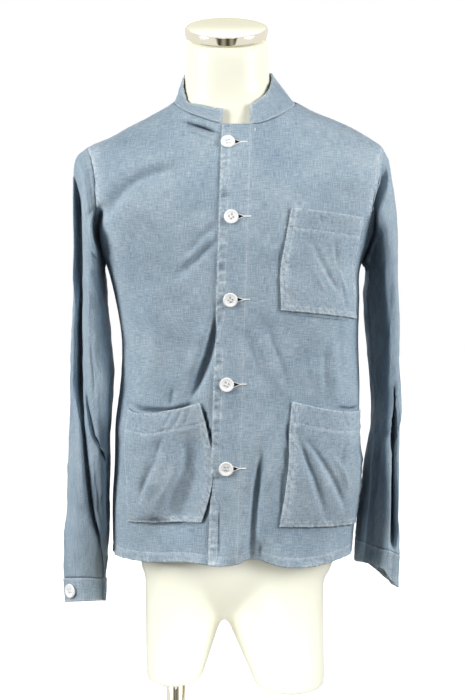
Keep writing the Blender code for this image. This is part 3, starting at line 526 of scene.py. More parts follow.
def bodyPanel(kind):
    back = kind == "back"
    lower = np.linspace(bodyCut["hem"], bodyCut["underarm"], bodyCut["lowerRows"], endpoint=False)
    armZ, armReach = armRow(np.linspace(math.pi, 0.0, bodyCut["armRows"] + 1), back)
    shares = np.linspace(0.0, 1.0, bodyCut["neckRows"] + 1)[1:]
    z = np.concatenate([lower, armZ, np.full(len(shares), bodyCut["tip"])])
    reach = np.concatenate([np.zeros(len(lower)), armReach, np.zeros(len(shares))])
    share = np.concatenate([np.zeros(len(lower) + len(armZ)), shares])
    sideZ = z + (neckZ(math.pi / 2) - z) * share
    frontZ = z + (neckZ(0.0) - z) * share
    edge = edgeX(frontZ)
    if back:
        side = sideAngle(sideZ, reach, back=True)
        t = np.linspace(0.0, 1.0, bodyCut["backCols"] + 1)
        angle = side[:, None] * (1 - t) + (2.0 * math.pi - side)[:, None] * t
    else:
        side = sideAngle(sideZ, reach)
        a = np.linspace(0.0, 1.0, bodyCut["bandCols"] + 1)
        b = np.linspace(0.0, 1.0, bodyCut["frontCols"] + 1)
        if kind == "front_left":
            outer, fold = angleAt(edge, frontZ), angleAt(edge + bodyCut["placket"], frontZ)
            band = outer[:, None] * (1 - a) + fold[:, None] * a
            angle = np.concatenate([band[:, :-1], fold[:, None] * (1 - b) + side[:, None] * b], axis=1)
        else:
            fold = angleAt(edge, frontZ)
            outer = angleAt(edge + bodyCut["placket"] - bodyCut["lapEdge"], frontZ)
            band = fold[:, None] * (1 - a) + outer[:, None] * a
            angle = np.concatenate([-side[:, None] * (1 - b) + fold[:, None] * b, band[:, 1:]], axis=1)
    height = z[:, None] + (neckZ(angle) - z[:, None]) * share[:, None]
    return bodyPoint(angle, height, lap=kind == "front_left")


# seams: what stitching does to the cloth beside it

seamCut = {
    "gathers": {  # depth, wave and reach
        "side": (0.0006, 0.007, 0.009), "placket": (0.0003, 0.008, 0.005),
        "frontHem": (0.0014, 0.0055, 0.010), "backHem": (0.0007, 0.007, 0.010),
        "frontEdge": (0.0012, 0.0050, 0.008),
        "sleeveHead": (0.0009, 0.008, 0.012), "sleeveEnd": (0.0010, 0.007, 0.014),
        "cuff": (0.0006, 0.006, 0.008), "collar": (0.0005, 0.006, 0.006),
        "pocketEdge": (0.0011, 0.005, 0.008), "pocketMouth": (0.0008, 0.009, 0.014)},
    "grooves": {  # depth in metres, or for the painted shade rows how dark the painted shade is, and reach
        "frontArm": (0.0005, 0.0022), "backArm": (0.0010, 0.0022), "neck": (0.0022, 0.0022),
        "hem": (0.0007, 0.0014), "placket": (0.0006, 0.0014), "sleeveHead": (0.0003, 0.0022),
        "sleeveEnd": (0.0004, 0.002), "pocketHem": (0.0009, 0.0015),
        "paintedArmShade": (0.3, 0.0014), "paintedNeckShade": (0.75, 0.0020),
        "paintedSleeveShade": (0.25, 0.0012), "paintedCollarShade": (0.5, 0.0012)},
    "rubbed": {  # how pale, and reach
        "hem": (0.75, 0.004), "hemRow": (0.45, 0.0025), "armhole": (0.75, 0.005), "edge": (0.9, 0.0022),
        "edgeRow": (0.35, 0.003), "placket": (0.3, 0.002), "sleeveHead": (0.5, 0.005),
        "cuffEnd": (0.9, 0.0025), "cuffTop": (0.5, 0.003),
        "collarTop": (0.9, 0.002), "collarEnd": (0.8, 0.002), "collarSeam": (0.25, 0.003),
        "pocketEdge": (0.8, 0.0022), "pocketRow": (0.45, 0.002),
        "pocketTop": (0.6, 0.002), "pocketHem": (0.4, 0.002)},
    "dashes": (0.0045, 0.02),  # length of the pale and dark dashes along an edge, and across it
    "mottles": {"hem": (0.4, 0.011), "edge": (0.6, 0.008), "pocket": (0.5, 0.009)},  # strength, and reach
}


def gather(points, normals, distance, along, kind, seed):  # small puckers where stitching draws the cloth up
    depth, wave, reach = seamCut["gathers"][kind]
    ripple = cloudNoise(along / wave, distance / (2.5 * wave), seed)
    return points + normals * (depth * np.exp(-(distance / reach) ** 2) * ripple)[..., None]


# depth of a groove, or strength of painted shade, falling off from a seam
def grooveAndShade(distance, kind):
    depth, reach = seamCut["grooves"][kind]
    return depth * np.exp(-(distance / reach) ** 2)


def rubbed(distance, kind):
    pale, reach = seamCut["rubbed"][kind]
    return pale * np.exp(-np.abs(distance) / reach)


def mottle(noise, distance, kind):
    strength, reach = seamCut["mottles"][kind]
    return strength * noise * np.exp(-(distance / reach) ** 4)


def frontPanel(name):
    left = name == "front_left"
    lower, neck, hemBand = bodyCut["lowerRows"], bodyCut["neckRows"], bodyCut["hemBand"]
    dash, breadth = seamCut["dashes"]
    points = bodyPanel(name)
    normals = gridNormals(points)
    u, v = gridSpans(points)
    fromEdge = u if left else u[:, -1:] - u
    fromSide = u[:, -1:] - u if left else u
    fromNeck = v[-1:] - v
    count = len(points)
    below, above = bodyCut["armFade"]  # rows
    armEnds = (lower - below, lower + above, count - neck - below, count - neck)
    atArm = between(*armEnds, np.arange(count))[:, None]
    points = gather(points, normals, fromSide, v, "side", 11)
    points = gather(points, normals, v, u, "frontHem", 13)
    if not left:  # the cloth tucks deep under the arm beside the sleeve
        tuck = bodyCut["armTuck"]
        under = between(*tuck["heights"], points[..., 2])
        points[..., 1] += tuck["depth"] * under * np.exp(-((fromSide - tuck["from"]) / tuck["reach"]) ** 2)
    points[..., 2] += rowsAt(hemDrop, points[..., 0])[..., 0] * (1.0 - ease(0.0, bodyCut["hemFade"], v))
    ditch = grooveAndShade(fromSide, "frontArm") + grooveAndShade(fromNeck, "neck")
    ditch = ditch + grooveAndShade(v - hemBand, "hem")
    wearAndShade = rubbed(v, "hem") + rubbed(v - hemBand, "hemRow")
    wearAndShade = wearAndShade + rubbed(fromSide - bodyCut["armRub"], "armhole") * atArm
    wearAndShade = wearAndShade + mottle(cloudNoise(u / dash, v / breadth, 15), v, "hem")
    # painted shade: darker along the armhole seam
    wearAndShade = wearAndShade - grooveAndShade(fromSide, "paintedArmShade") * atArm
    columns = np.arange(points.shape[1])
    underCollar = columns > bodyCut["bandCols"] + 1 if left else columns < bodyCut["frontCols"] - 1
    nearFront = 1.0 - ease(*bodyCut["collarFade"], np.abs(points[..., 0]))
    # painted shade: darker along the neck seam under the collar, near the front
    wearAndShade = wearAndShade - grooveAndShade(fromNeck, "paintedNeckShade") * underCollar * nearFront
    ownSide = np.sign(points[..., 0] - edgeX(points[..., 2])) == (1 if left else -1)
    # painted shade along seams, creases and pocket edges, drawn darker in the cloth's colour
    wearAndShade = wearAndShade + foldSum(paintedSeamShade, points[..., 0], points[..., 2]) * ownSide
    if left:
        fromMiddle, fromFold = fromEdge - bodyCut["edgeMiddle"], fromEdge - bodyCut["placket"]
        points = gather(points, normals, np.abs(fromMiddle), v, "frontEdge", 17)
        wearAndShade = wearAndShade + mottle(cloudNoise(u / breadth, v / dash, 16), fromMiddle, "edge")
        points = gather(points, normals, np.abs(fromFold), v, "placket", 19)
        ditch = ditch + grooveAndShade(fromEdge - bodyCut["edgeBand"], "placket")
        ditch = ditch + grooveAndShade(fromFold, "placket")
        wearAndShade = wearAndShade + rubbed(fromEdge, "edge") + rubbed(fromEdge - bodyCut["edgeRub"], "edgeRow")
        wearAndShade = wearAndShade + rubbed(fromFold, "placket")
    points = points - normals * ditch[..., None]
    normals = gridNormals(points)
    label, grain = ("frontLeft", 0) if left else ("frontRight", -1)
    obj = clothObject(label, points, wearAndShade, bodyCut["cloth"], grain, level=True)
    sew(obj, [name])
    edge = "right" if left else "left"
    arm = (lower, lower + bodyCut["armRows"] + 1)
    for distance in bodyCut["seamRows"]:
        stitch(points, normals, distance, edge, *arm)
    stitch(points, normals, hemBand, "bottom")
    stitch(points, normals, bodyCut["seamRows"][0], edge, arm[1], None)
    if left:
        for distance in (bodyCut["edgeRow"], bodyCut["edgeBand"]):
            stitch(points, normals, distance, "left")
        stitchRows.append((points[:, bodyCut["bandCols"]], normals[:, bodyCut["bandCols"]]))
    return points


print("cutting the body")
frontLeft = frontPanel("front_left")
frontRight = frontPanel("front_right")


def backPanel():
    lower, hemBand = bodyCut["lowerRows"], bodyCut["hemBand"]
    points = bodyPanel("back")
    normals = gridNormals(points)
    u, v = gridSpans(points)
    fromSide = np.minimum(u, u[:, -1:] - u)
    points = gather(points, normals, fromSide, v, "side", 23)
    points = gather(points, normals, v, u, "backHem", 29)
    ditch = grooveAndShade(fromSide, "backArm") + grooveAndShade(v - hemBand, "hem")
    points = points - normals * ditch[..., None]
    normals = gridNormals(points)
    wearAndShade = rubbed(v, "hem") + rubbed(v - hemBand, "hemRow")
    obj = clothObject("backPanel", points, wearAndShade, bodyCut["cloth"], bodyCut["backCols"] // 2, level=True)
    sew(obj, ["back"])
    arm = (lower, lower + bodyCut["armRows"] + 1)
    for edge in ("left", "right"):
        for distance in bodyCut["seamRows"]:
            stitch(points, normals, distance, edge, *arm)
        stitch(points, normals, bodyCut["seamRows"][0], edge, arm[1], None)
        stitch(points, normals, bodyCut["seamRows"][0], edge, 0, arm[0])
    stitch(points, normals, hemBand, "bottom")
    return points


back = backPanel()
print("body done")


# sleeves: sections from the armhole to the cuff seam

sleeveSections = {
    # outer x, outer z, inner x, inner z, half depth, centre y, shift of the front edge outward
    "sleeve_right": [
        [-0.2079, 1.0641, -0.1774, 0.9059, 0.064, 0.000, 0.0],
        [-0.2170, 1.0550, -0.1782, 0.9024, 0.066, 0.000, 0.0],
        [-0.2225, 1.0368, -0.1786, 0.8982, 0.069, 0.000, 0.0],
        [-0.2243, 1.0130, -0.1785, 0.8926, 0.072, 0.000, 0.0],
        [-0.2247, 0.9808, -0.1779, 0.8842, 0.074, 0.000, 0.0],
        [-0.2247, 0.9430, -0.1768, 0.8716, 0.076, 0.000, 0.0],
        [-0.2247, 0.9038, -0.1753, 0.8590, 0.076, -0.001, 0.0],
        [-0.2251, 0.8618, -0.1737, 0.8436, 0.075, -0.002, 0.0],
        [-0.2261, 0.8226, -0.1715, 0.8184, 0.073, -0.003, 0.0],
        [-0.2281, 0.7848, -0.1690, 0.7848, 0.071, -0.005, 0.0],
        [-0.2289, 0.7498, -0.1663, 0.7498, 0.069, -0.007, 0.0],
        [-0.2289, 0.7148, -0.1687, 0.7148, 0.067, -0.009, 0.0],
        [-0.2303, 0.6798, -0.1701, 0.6798, 0.065, -0.011, 0.0],
        [-0.2313, 0.6448, -0.1709, 0.6448, 0.062, -0.013, 0.0],
        [-0.2324, 0.6098, -0.1718, 0.6098, 0.060, -0.015, 0.0],
        [-0.2331, 0.5748, -0.1726, 0.5748, 0.057, -0.017, 0.0],
        [-0.2341, 0.5398, -0.1719, 0.5398, 0.054, -0.019, 0.0],
        [-0.2345, 0.5048, -0.1750, 0.5048, 0.051, -0.021, 0.0],
        [-0.2345, 0.4656, -0.1792, 0.4656, 0.047, -0.023, 0.0],
    ],
    "sleeve_left": [
        [0.2128, 1.0606, 0.1810, 0.9070, 0.064, 0.000, 0.000],
        [0.2177, 1.0494, 0.1824, 0.9045, 0.066, 0.000, 0.003],
        [0.2223, 1.0312, 0.1847, 0.9017, 0.069, 0.000, 0.007],
        [0.2264, 1.0088, 0.1869, 0.8982, 0.072, 0.000, 0.012],
        [0.2292, 0.9836, 0.1886, 0.8926, 0.074, 0.000, 0.014],
        [0.2307, 0.9500, 0.1886, 0.8814, 0.076, 0.000, 0.0145],
        [0.2303, 0.9108, 0.1869, 0.8674, 0.076, -0.001, 0.0147],
        [0.2296, 0.8688, 0.1858, 0.8506, 0.075, -0.002, 0.0145],
        [0.2310, 0.8268, 0.1873, 0.8282, 0.073, -0.003, 0.0141],
        [0.2321, 0.7904, 0.1904, 0.7918, 0.071, -0.005, 0.0120],
        [0.2331, 0.7498, 0.1946, 0.7498, 0.069, -0.007, 0.0095],
        [0.2331, 0.7148, 0.1971, 0.7148, 0.067, -0.009, 0.0082],
        [0.2331, 0.6798, 0.1942, 0.6798, 0.065, -0.011, 0.0040],
        [0.2331, 0.6448, 0.1883, 0.6448, 0.062, -0.013, 0.0035],
        [0.2331, 0.6098, 0.1835, 0.6126, 0.060, -0.015, 0.0073],
        [0.2323, 0.5720, 0.1791, 0.5804, 0.057, -0.017, 0.0113],
        [0.2313, 0.5328, 0.1751, 0.5496, 0.054, -0.019, 0.0138],
        [0.2303, 0.4964, 0.1729, 0.5188, 0.051, -0.021, 0.0133],
    ],
}
sleeveCut = {
    "rows": 236, "headRows": 70, "headEnd": 6.0, "holeEnd": 4.0, "cloth": 0.0011, "row": 0.0022,
    "ripples": [  # height, rate down, place and size round
        (0.0013, 1.1, 8.0, 4.0, 2.0), (0.0006, 2.6, 30.0, 9.0, 4.0)],
    "hold": (1.5, 0.5),  # sections at the two ends that folds fade over
    "foldFade": (1.0, 0.6, 0.8, 0.6),  # sections before and after a crease's start, then its end
    "trim": 0.0027, "trimRows": (2.0, 4.0, 16.0, 18.0),  # the outer edge drawn in, over these sections
    "rise": 0.22, "riseRows": 4.0,  # lift of the lower end for each metre to the front, and its sections
    "stepFade": 24.0,  # degrees
}
ridgeLine = [  # section and degrees down the ridge of the sleeve on the wearer's left
    (0.0, 103), (4.0, 105), (6.0, 116), (8.0, 125), (12.0, 127),
    (13.0, 108), (14.0, 97), (16.0, 101), (18.0, 99)]
pleatCut = {
    # sections where each starts and ends, section and degrees of its middle, then degrees from that
    # and metres pushed straight back
    "sleeve_right": [
        ((1.6, 4.5, 6.8, 8.8), [(0.0, 0)], [
            (-30, 0.0), (0, -0.012), (8, -0.010), (20, 0.0126), (35, 0.0450), (48, 0.0655), (57, 0.0724),
            (62, 0.0656), (67, 0.0483), (72, 0.0285), (78, 0.0144), (88, 0.008), (100, 0.0)]),
        ((6.8, 8.8, 11.0, 13.0), [(10.4, 57), (11.4, 60), (13.2, 82)], [
            (-88, 0.0), (-58, -0.010), (-46, -0.009), (-34, -0.0027), (-23, 0.0063), (-10, 0.0205),
            (-6, 0.0351), (-3, 0.059), (0, 0.0711), (4, 0.0676), (9, 0.0463), (14, 0.0265),
            (20, 0.0153), (29, 0.0089), (42, 0.0)]),
        ((0.2, 0.9, 2.6, 4.2), [(0.0, 0)], [
            (94, 0.0), (102, -0.008), (110, -0.016), (120, -0.024),
            (130, -0.026), (140, -0.020), (150, -0.008), (162, 0.0)]),
        ((0.2, 0.9, 1.4, 3.0), [(0.0, 0)], [
            (94, 0.0), (104, -0.008), (112, -0.014), (122, -0.016),
            (134, -0.012), (146, -0.004), (156, 0.0)]),
        ((2.6, 4.2, 6.5, 8.0), [(0.0, 0)], [
            (96, 0.0), (104, -0.004), (112, -0.008), (120, -0.011), (130, -0.012),
            (140, -0.008), (150, -0.001), (160, 0.004), (175, 0.0)]),
        ((6.5, 8.0, 17.0, 18.6), [(0.0, 0)], [
            (105, 0.0), (120, -0.005), (130, -0.009), (140, -0.014),
            (150, -0.018), (160, -0.019), (170, -0.010), (180, 0.0)]),
        ((9.5, 11.5, 14.0, 16.0), [(0.0, 0)], [
            (100, 0.0), (108, -0.002), (116, -0.004), (126, -0.006), (138, -0.007),
            (150, -0.008), (160, -0.010), (170, -0.013), (178, -0.007), (186, 0.0)]),
        ((17.2, 18.6, 40.0, 41.0), [(0.0, 0)], [
            (128, 0.0), (140, 0.016), (150, 0.028), (165, 0.030), (180, 0.012), (195, 0.0)]),
        ((3.0, 6.0, 40.0, 41.0), [(0.0, 0)], [(-90, 0.012), (270, 0.012)])],
    "sleeve_left": [
        ((0.1, 0.8, 1.4, 2.6), [(0.0, 0)], [
            (25, 0.0), (45, 0.008), (60, 0.016), (90, 0.020), (120, 0.022), (150, 0.018), (180, 0.0)]),
        ((0.8, 2.2, 40.0, 41.0), ridgeLine, [
            (-24, 0.0), (-12, -0.002), (-5, 0.0), (-1, 0.004), (2, 0.014),
            (7, 0.027), (16, 0.035), (30, 0.030), (42, 0.016), (54, 0.0)]),
        ((11.0, 12.4, 17.0, 18.2), [(12.0, 97), (14.0, 71), (16.0, 79), (18.0, 80)], [
            (-60, 0.0), (-45, -0.003), (-30, -0.002), (-18, 0.006), (-9, 0.024), (-4, 0.040),
            (0, 0.044), (4, 0.036), (9, 0.016), (14, 0.004), (20, 0.0)]),
        ((3.0, 6.0, 40.0, 41.0), [(0.0, 0)], [(-90, 0.012), (270, 0.012)])],
}
creaseCut = {
    # section and degrees along a sharp crease, width in degrees, push back, step back of the inner side,
    # sections where it starts and ends
    "sleeve_right": [
        ([(10.4, 57), (11.4, 60), (13.2, 82), (15.2, 99), (16.8, 114), (18.2, 140), (19.0, 152)],
         4.5, 0.024, 0.008, (10.6, 12.6, 18.2, 19.2)),
        ([(11.4, 84), (12.0, 91), (13.2, 113), (14.2, 155)], 5.0, 0.014, -0.004, (11.0, 12.0, 13.8, 14.6))],
    "sleeve_left": [],
}
sleeveFolds = {
    # section and degrees, from the outer edge towards the front, along each crease; width in degrees, depth
    "sleeve_right": [
        ([(9.5, 75), (13.5, 96)], 7.0, -0.0030),
        ([(9.0, 98), (12.5, 118)], 7.0, -0.0034),
        ([(10.5, 120), (13.5, 140)], 8.0, -0.0032),
        ([(11.0, 84), (14.0, 108)], 6.0, 0.0020),
        ([(12.5, 30), (16.0, 52)], 8.0, -0.0026),
        ([(14.5, 120), (17.5, 150)], 8.0, -0.0028),
        ([(6.0, 120), (8.5, 150)], 9.0, -0.0030),
        ([(15.5, 20), (18.5, 60)], 8.0, -0.0022),
        ([(8, 200), (13, 240)], 14.0, -0.0050),
        ([(10, 260), (14, 300)], 12.0, -0.0040),
        ([(12, 210), (16, 260)], 12.0, 0.0030),
        ([(5, 290), (10, 320)], 12.0, -0.0035),
    ],
    "sleeve_left": [
        ([(4, 132), (9, 138), (12, 120), (16, 140)], 16.0, -0.0045),
        ([(11.0, 60), (12.6, 92), (13.6, 120)], 9.0, -0.0040),
        ([(11.6, 48), (13.4, 70), (15.0, 80)], 8.0, 0.0030),
        ([(8.0, 100), (10.5, 150)], 8.0, -0.0036),
        ([(9.5, 95), (11.5, 130)], 7.0, 0.0026),
        ([(13.5, 60), (17.0, 74)], 8.0, -0.0026),
        ([(6.0, 110), (8.5, 160)], 9.0, -0.0036),
        ([(9, 300), (13, 270)], 14.0, -0.0045),
        ([(6, 250), (10, 220)], 12.0, -0.0035),
        ([(12, 320), (16, 280)], 12.0, -0.0035),
        ([(3, 20), (9, 24)], 10.0, -0.0016),
    ],
}


def oval(columns, turn):  # columns on the last axis; turn 0 at the outer edge, a quarter turn at the front
    outerX, outerZ, innerX, innerZ, depth, centreY, skew = np.moveaxis(columns, -1, 0)
    reachX, reachZ = 0.5 * (outerX - innerX), 0.5 * (outerZ - innerZ)
    reach = np.hypot(reachX, reachZ)
    slim = np.sqrt(np.maximum(1.0 - (skew / reach) ** 2, 0.05)) * np.cos(turn) + skew / reach * np.sin(turn)
    x = 0.5 * (outerX + innerX) + reachX * slim
    y = centreY - depth * np.sin(turn)
    z = 0.5 * (outerZ + innerZ) + reachZ * slim
    outX, outZ = (r / reach * np.cos(turn) / reach for r in (reachX, reachZ))
    out = np.stack([outX, -np.sin(turn) / depth, outZ], axis=-1)
    return np.stack([x, y, z], axis=-1), unit(out)


def armhole(side):
    turn = np.linspace(0.0, math.pi, bodyCut["armRows"] + 1)
    frontZ, frontReach = armRow(turn, False)
    backZ, backReach = armRow(turn, True)
    front = bodyPoint(side * sideAngle(frontZ, frontReach), frontZ)
    rear = bodyPoint(side * sideAngle(backZ, backReach, back=True), backZ)
    return np.concatenate([front, rear[-2:0:-1]])


def sleeveFold(name, row, degrees):
    before, rise, fall, after = sleeveCut["foldFade"]
    total = np.zeros(np.broadcast(row, degrees).shape)
    for line, width, depth in sleeveFolds[name]:
        rows = [spot[0] for spot in line]
        middle = np.interp(row, rows, [spot[1] for spot in line])
        fade = between(rows[0] - before, rows[0] + rise, rows[-1] - fall, rows[-1] + after, row)
        gap = (degrees - middle + 180.0) % 360.0 - 180.0
        total = total + depth * fade * np.exp(-(gap / width) ** 2)
    return total


def sleevePush(name, row, degrees):
    wrapped = (degrees + 90.0) % 360.0 - 90.0
    total = np.zeros(np.broadcast(row, degrees).shape)
    for ends, line, push in pleatCut[name]:
        gap = wrapped - np.interp(row, *np.array(line, float).T)
        total = total + between(*ends, row) * np.interp(gap, *np.array(push).T)
    for line, width, push, step, ends in creaseCut[name]:
        gap = wrapped - np.interp(row, *np.array(line).T)
        inner = step * (gap > 0) * np.exp(-np.maximum(gap, 0.0) / sleeveCut["stepFade"])
        total = total + between(*ends, row) * (push * np.exp(-(gap / width) ** 2) + inner)
    return total


def sleevePiece(name, side):
    hole = armhole(side)
    count = len(hole)
    turn = np.linspace(0.0, 2.0 * math.pi, count, endpoint=False)
    tip, under = hole[0], hole[bodyCut["armRows"]]
    start = [tip[0], tip[2], under[0], under[2], bodyCut["armDepth"], 0.0, 0.0]
    table = np.array([start] + sleeveSections[name])
    table = np.column_stack([np.arange(len(table)), table])
    last = len(table) - 1.0
    head, headEnd = sleeveCut["headRows"], sleeveCut["headEnd"]
    row = np.concatenate([
        np.linspace(0.0, headEnd, head, endpoint=False),
        np.linspace(headEnd, last, sleeveCut["rows"] - head)])
    columns = rowsAt(table, row)[:, None, :]
    points, out = oval(columns, turn[None, :])
    ideal = oval(np.array(start), turn)[0]
    keep = 1.0 - ease(0.0, sleeveCut["holeEnd"], row)
    points = points + keep[:, None, None] * (hole - ideal)[None]
    degrees = np.degrees(turn)[None, :]
    lift = sleeveFold(name, row[:, None], degrees)
    seed = 31 if side > 0 else 37
    ripple = 0.0
    for high, rate, place, sine, cosine in sleeveCut["ripples"]:
        turned = place + sine * np.sin(turn)[None] + cosine * np.cos(turn)[None]
        ripple = ripple + high * cloudNoise(row[:, None] * rate, turned, seed)
    headHold, endHold = sleeveCut["hold"]
    hold = between(0.0, headHold, last - endHold, last, row)
    points = points + out * ((lift + ripple) * hold[:, None])[..., None]
    points[..., 1] += sleevePush(name, row[:, None], degrees)
    trim = between(*sleeveCut["trimRows"], row)
    points[..., 0] -= side * sleeveCut["trim"] * trim[:, None] * np.maximum(np.cos(turn), 0.0)
    rise = sleeveCut["rise"] * ease(last - sleeveCut["riseRows"], last, row)[:, None]
    points[..., 2] += rise * np.maximum(-points[..., 1], 0.0)
    normals, flip = tubeNormals(points)
    u, v = (span[:, :-1] for span in gridSpans(closeLoop(points)))
    fromCuff = v[-1:] - v
    points = gather(points, normals, v, u, "sleeveHead", seed + 1)
    points = gather(points, normals, fromCuff, u, "sleeveEnd", seed + 2)
    points = points - normals * (grooveAndShade(v, "sleeveHead") + grooveAndShade(fromCuff, "sleeveEnd"))[..., None]
    normals = gridNormals(points, closed=True) * (-1.0 if flip else 1.0)
    # painted shade: darker along the sleeve head and the cuff seam
    wearAndShade = rubbed(v, "sleeveHead") - grooveAndShade(v, "paintedSleeveShade") - grooveAndShade(fromCuff, "paintedSleeveShade")
    seamFirst = -(count // 2)  # the underarm seam is the map's edge
    obj = clothObject(
        "sleeveLeft" if side > 0 else "sleeveRight", np.roll(points, seamFirst, axis=1),
        np.roll(wearAndShade, seamFirst, axis=1), sleeveCut["cloth"], 3 * count // 4, closed=True, flip=flip)
    sew(obj, [name])
    stitch(closeLoop(points), closeLoop(normals), sleeveCut["row"], "bottom")
    return table[-1, 1:]


sleeveLeftEnd = sleevePiece("sleeve_left", 1)
sleeveRightEnd = sleevePiece("sleeve_right", -1)
print("sleeves set in")


# cuffs

cuffCut = {
    "rows": 18, "cloth": 0.0024, "gap": 0.0004, "row": 0.0020, "stand": 0.0007,
    "ripple": (0.0006, 2.0, 6.0, 9.0),  # height, rate down, size and place round
    "rise": {  # degrees and metres that the open end is lifted
        "cuff_right": [(0, 0.0)],
        "cuff_left": [
            (0, 0.0), (60, -0.003), (80, 0.0), (90, 0.004), (97, 0.008),
            (120, 0.0075), (150, 0.001), (180, -0.003), (220, 0.0)]},
    # the open end: outer x, outer z, inner x, inner z, half depth, centre y, shift of the front edge outward
    "cuff_right": [-0.2327, 0.4320, -0.1797, 0.4340, 0.047, -0.024, 0.0],
    "cuff_left": [0.2290, 0.4544, 0.1715, 0.4922, 0.050, -0.022, 0.012],
}


def cuffPiece(name, start, side):
    count = 2 * bodyCut["armRows"]
    turn = np.linspace(0.0, 2.0 * math.pi, count, endpoint=False)
    share = np.linspace(0.0, 1.0, cuffCut["rows"])
    begin = np.array(start)
    begin[[1, 3]] -= cuffCut["gap"]
    columns = begin + (np.array(cuffCut[name]) - begin) * share[:, None]
    points, out = oval(columns[:, None, :], turn[None, :])
    high, rate, sine, place = cuffCut["ripple"]
    ripple = high * cloudNoise(share[:, None] * rate, sine * np.sin(turn)[None] + place, 41)
    points = points + out * (cuffCut["stand"] + ripple)[..., None]
    degrees = np.degrees(turn)[None, :]
    sleeve = name.replace("cuff", "sleeve")
    points[..., 1] += sleevePush(sleeve, float(len(sleeveSections[sleeve])), degrees)
    points[..., 2] += sleeveCut["rise"] * np.maximum(-points[..., 1], 0.0)
    points[..., 2] += share[:, None] * np.interp(degrees, *np.array(cuffCut["rise"][name]).T)
    normals, flip = tubeNormals(points)
    u, v = (span[:, :-1] for span in gridSpans(closeLoop(points)))
    fromEnd = v[-1:] - v
    points = gather(points, normals, np.minimum(v, fromEnd), u, "cuff", 43)
    wearAndShade = rubbed(fromEnd, "cuffEnd") + rubbed(v, "cuffTop")
    label = "cuffLeft" if side > 0 else "cuffRight"
    obj = clothObject(label, points, wearAndShade, cuffCut["cloth"], count // 4, closed=True, flip=flip)
    sew(obj, [name])
    for edge in ("top", "bottom"):
        stitch(closeLoop(points), closeLoop(normals), cuffCut["row"], edge)
    return points, normals


cuffLeft = cuffPiece("cuff_left", sleeveLeftEnd, 1)
cuffRight = cuffPiece("cuff_right", sleeveRightEnd, -1)
print("cuffs sewn")


# collar: a stand band between the neck seam and its own upper edge

collarTop = np.array([
    # degrees from the front (wearer's left positive), z, radius
    [-180.0, 1.1780, 0.0680], [-120.0, 1.1750, 0.0660], [-95.0, 1.1680, 0.0640], [-75.0, 1.1500, 0.0655],
    [-55.0, 1.1305, 0.0690], [-35.0, 1.1260, 0.0690], [-10.0, 1.1205, 0.0680], [20.0, 1.1260, 0.0680],
    [45.0, 1.1380, 0.0670], [70.0, 1.1580, 0.0650], [90.0, 1.1700, 0.0640], [120.0, 1.1760, 0.0660],
    [180.0, 1.1780, 0.0680],
])
collarCut = {
    "centre": (-0.0056, 0.0070), "rows": 20, "cloth": 0.0022, "upright": (-0.004, 0.030),
    "hug": [  # degrees, radius
        (0, 0.0690), (48, 0.0690), (70, 0.0640), (90, 0.0633), (120, 0.0645), (180, 0.0680)],
    "hugRight": 0.0013,  # how much wider it stands on the wearer's right, and closer on the left
    "ripple": (0.0008, 0.018, 0.022), "rippleFade": 0.012,  # height, width and length; how soon it starts
    "edgeRows": {"top": 0.0025, "bottom": 0.0022, "left": 0.0025, "right": 0.0025},
}


def collarPiece():
    band, cols = bodyCut["bandCols"], bodyCut["frontCols"]
    seam = np.concatenate([frontLeft[-1, band:-1], back[-1, :-1], frontRight[-1, :cols + 1]])
    middleX, middleY = collarCut["centre"]
    turn = np.arctan2(seam[:, 0] - middleX, -(seam[:, 1] - middleY))
    topZ, radius = np.moveaxis(rowsAt(collarTop, np.degrees(turn)), -1, 0)
    hug = np.interp(np.abs(np.degrees(turn)), *np.array(collarCut["hug"]).T)
    radius = np.minimum(radius, hug - collarCut["hugRight"] * np.sin(turn))
    top = np.stack([middleX + radius * np.sin(turn), middleY - radius * np.cos(turn), topZ], axis=-1)
    lean = ease(*collarCut["upright"], runLength(seam))  # its left end stands upright
    top[:, 0] = seam[:, 0] + (top[:, 0] - seam[:, 0]) * lean
    share = np.linspace(0.0, 1.0, collarCut["rows"])[:, None, None]
    points = seam + (top - seam) * share
    normals = gridNormals(points)
    u, v = gridSpans(points)
    fromTop = v[-1:] - v
    fromEnds = np.minimum(u, u[:, -1:] - u)
    high, wide, tall = collarCut["ripple"]
    ripple = high * cloudNoise(u / wide, v / tall, 47)
    points = points + normals * ripple[..., None] * ease(0.0, collarCut["rippleFade"], v)[..., None]
    points = gather(points, normals, np.minimum(v, fromTop), u, "collar", 53)
    wearAndShade = rubbed(fromTop, "collarTop") + rubbed(fromEnds, "collarEnd") + rubbed(v, "collarSeam")
    # painted shade: darker along the collar's neck seam near the front
    wearAndShade = wearAndShade - grooveAndShade(v, "paintedCollarShade") * (1.0 - ease(*bodyCut["collarFade"], np.abs(points[..., 0])))
    normals = gridNormals(points)
    obj = clothObject("standCollar", points, wearAndShade, collarCut["cloth"], 0)
    sew(obj, ["collar"])
    for edge, distance in collarCut["edgeRows"].items():
        stitch(points, normals, distance, edge)


collarPiece()
print("collar set on")


# patch pockets, laid on the fronts

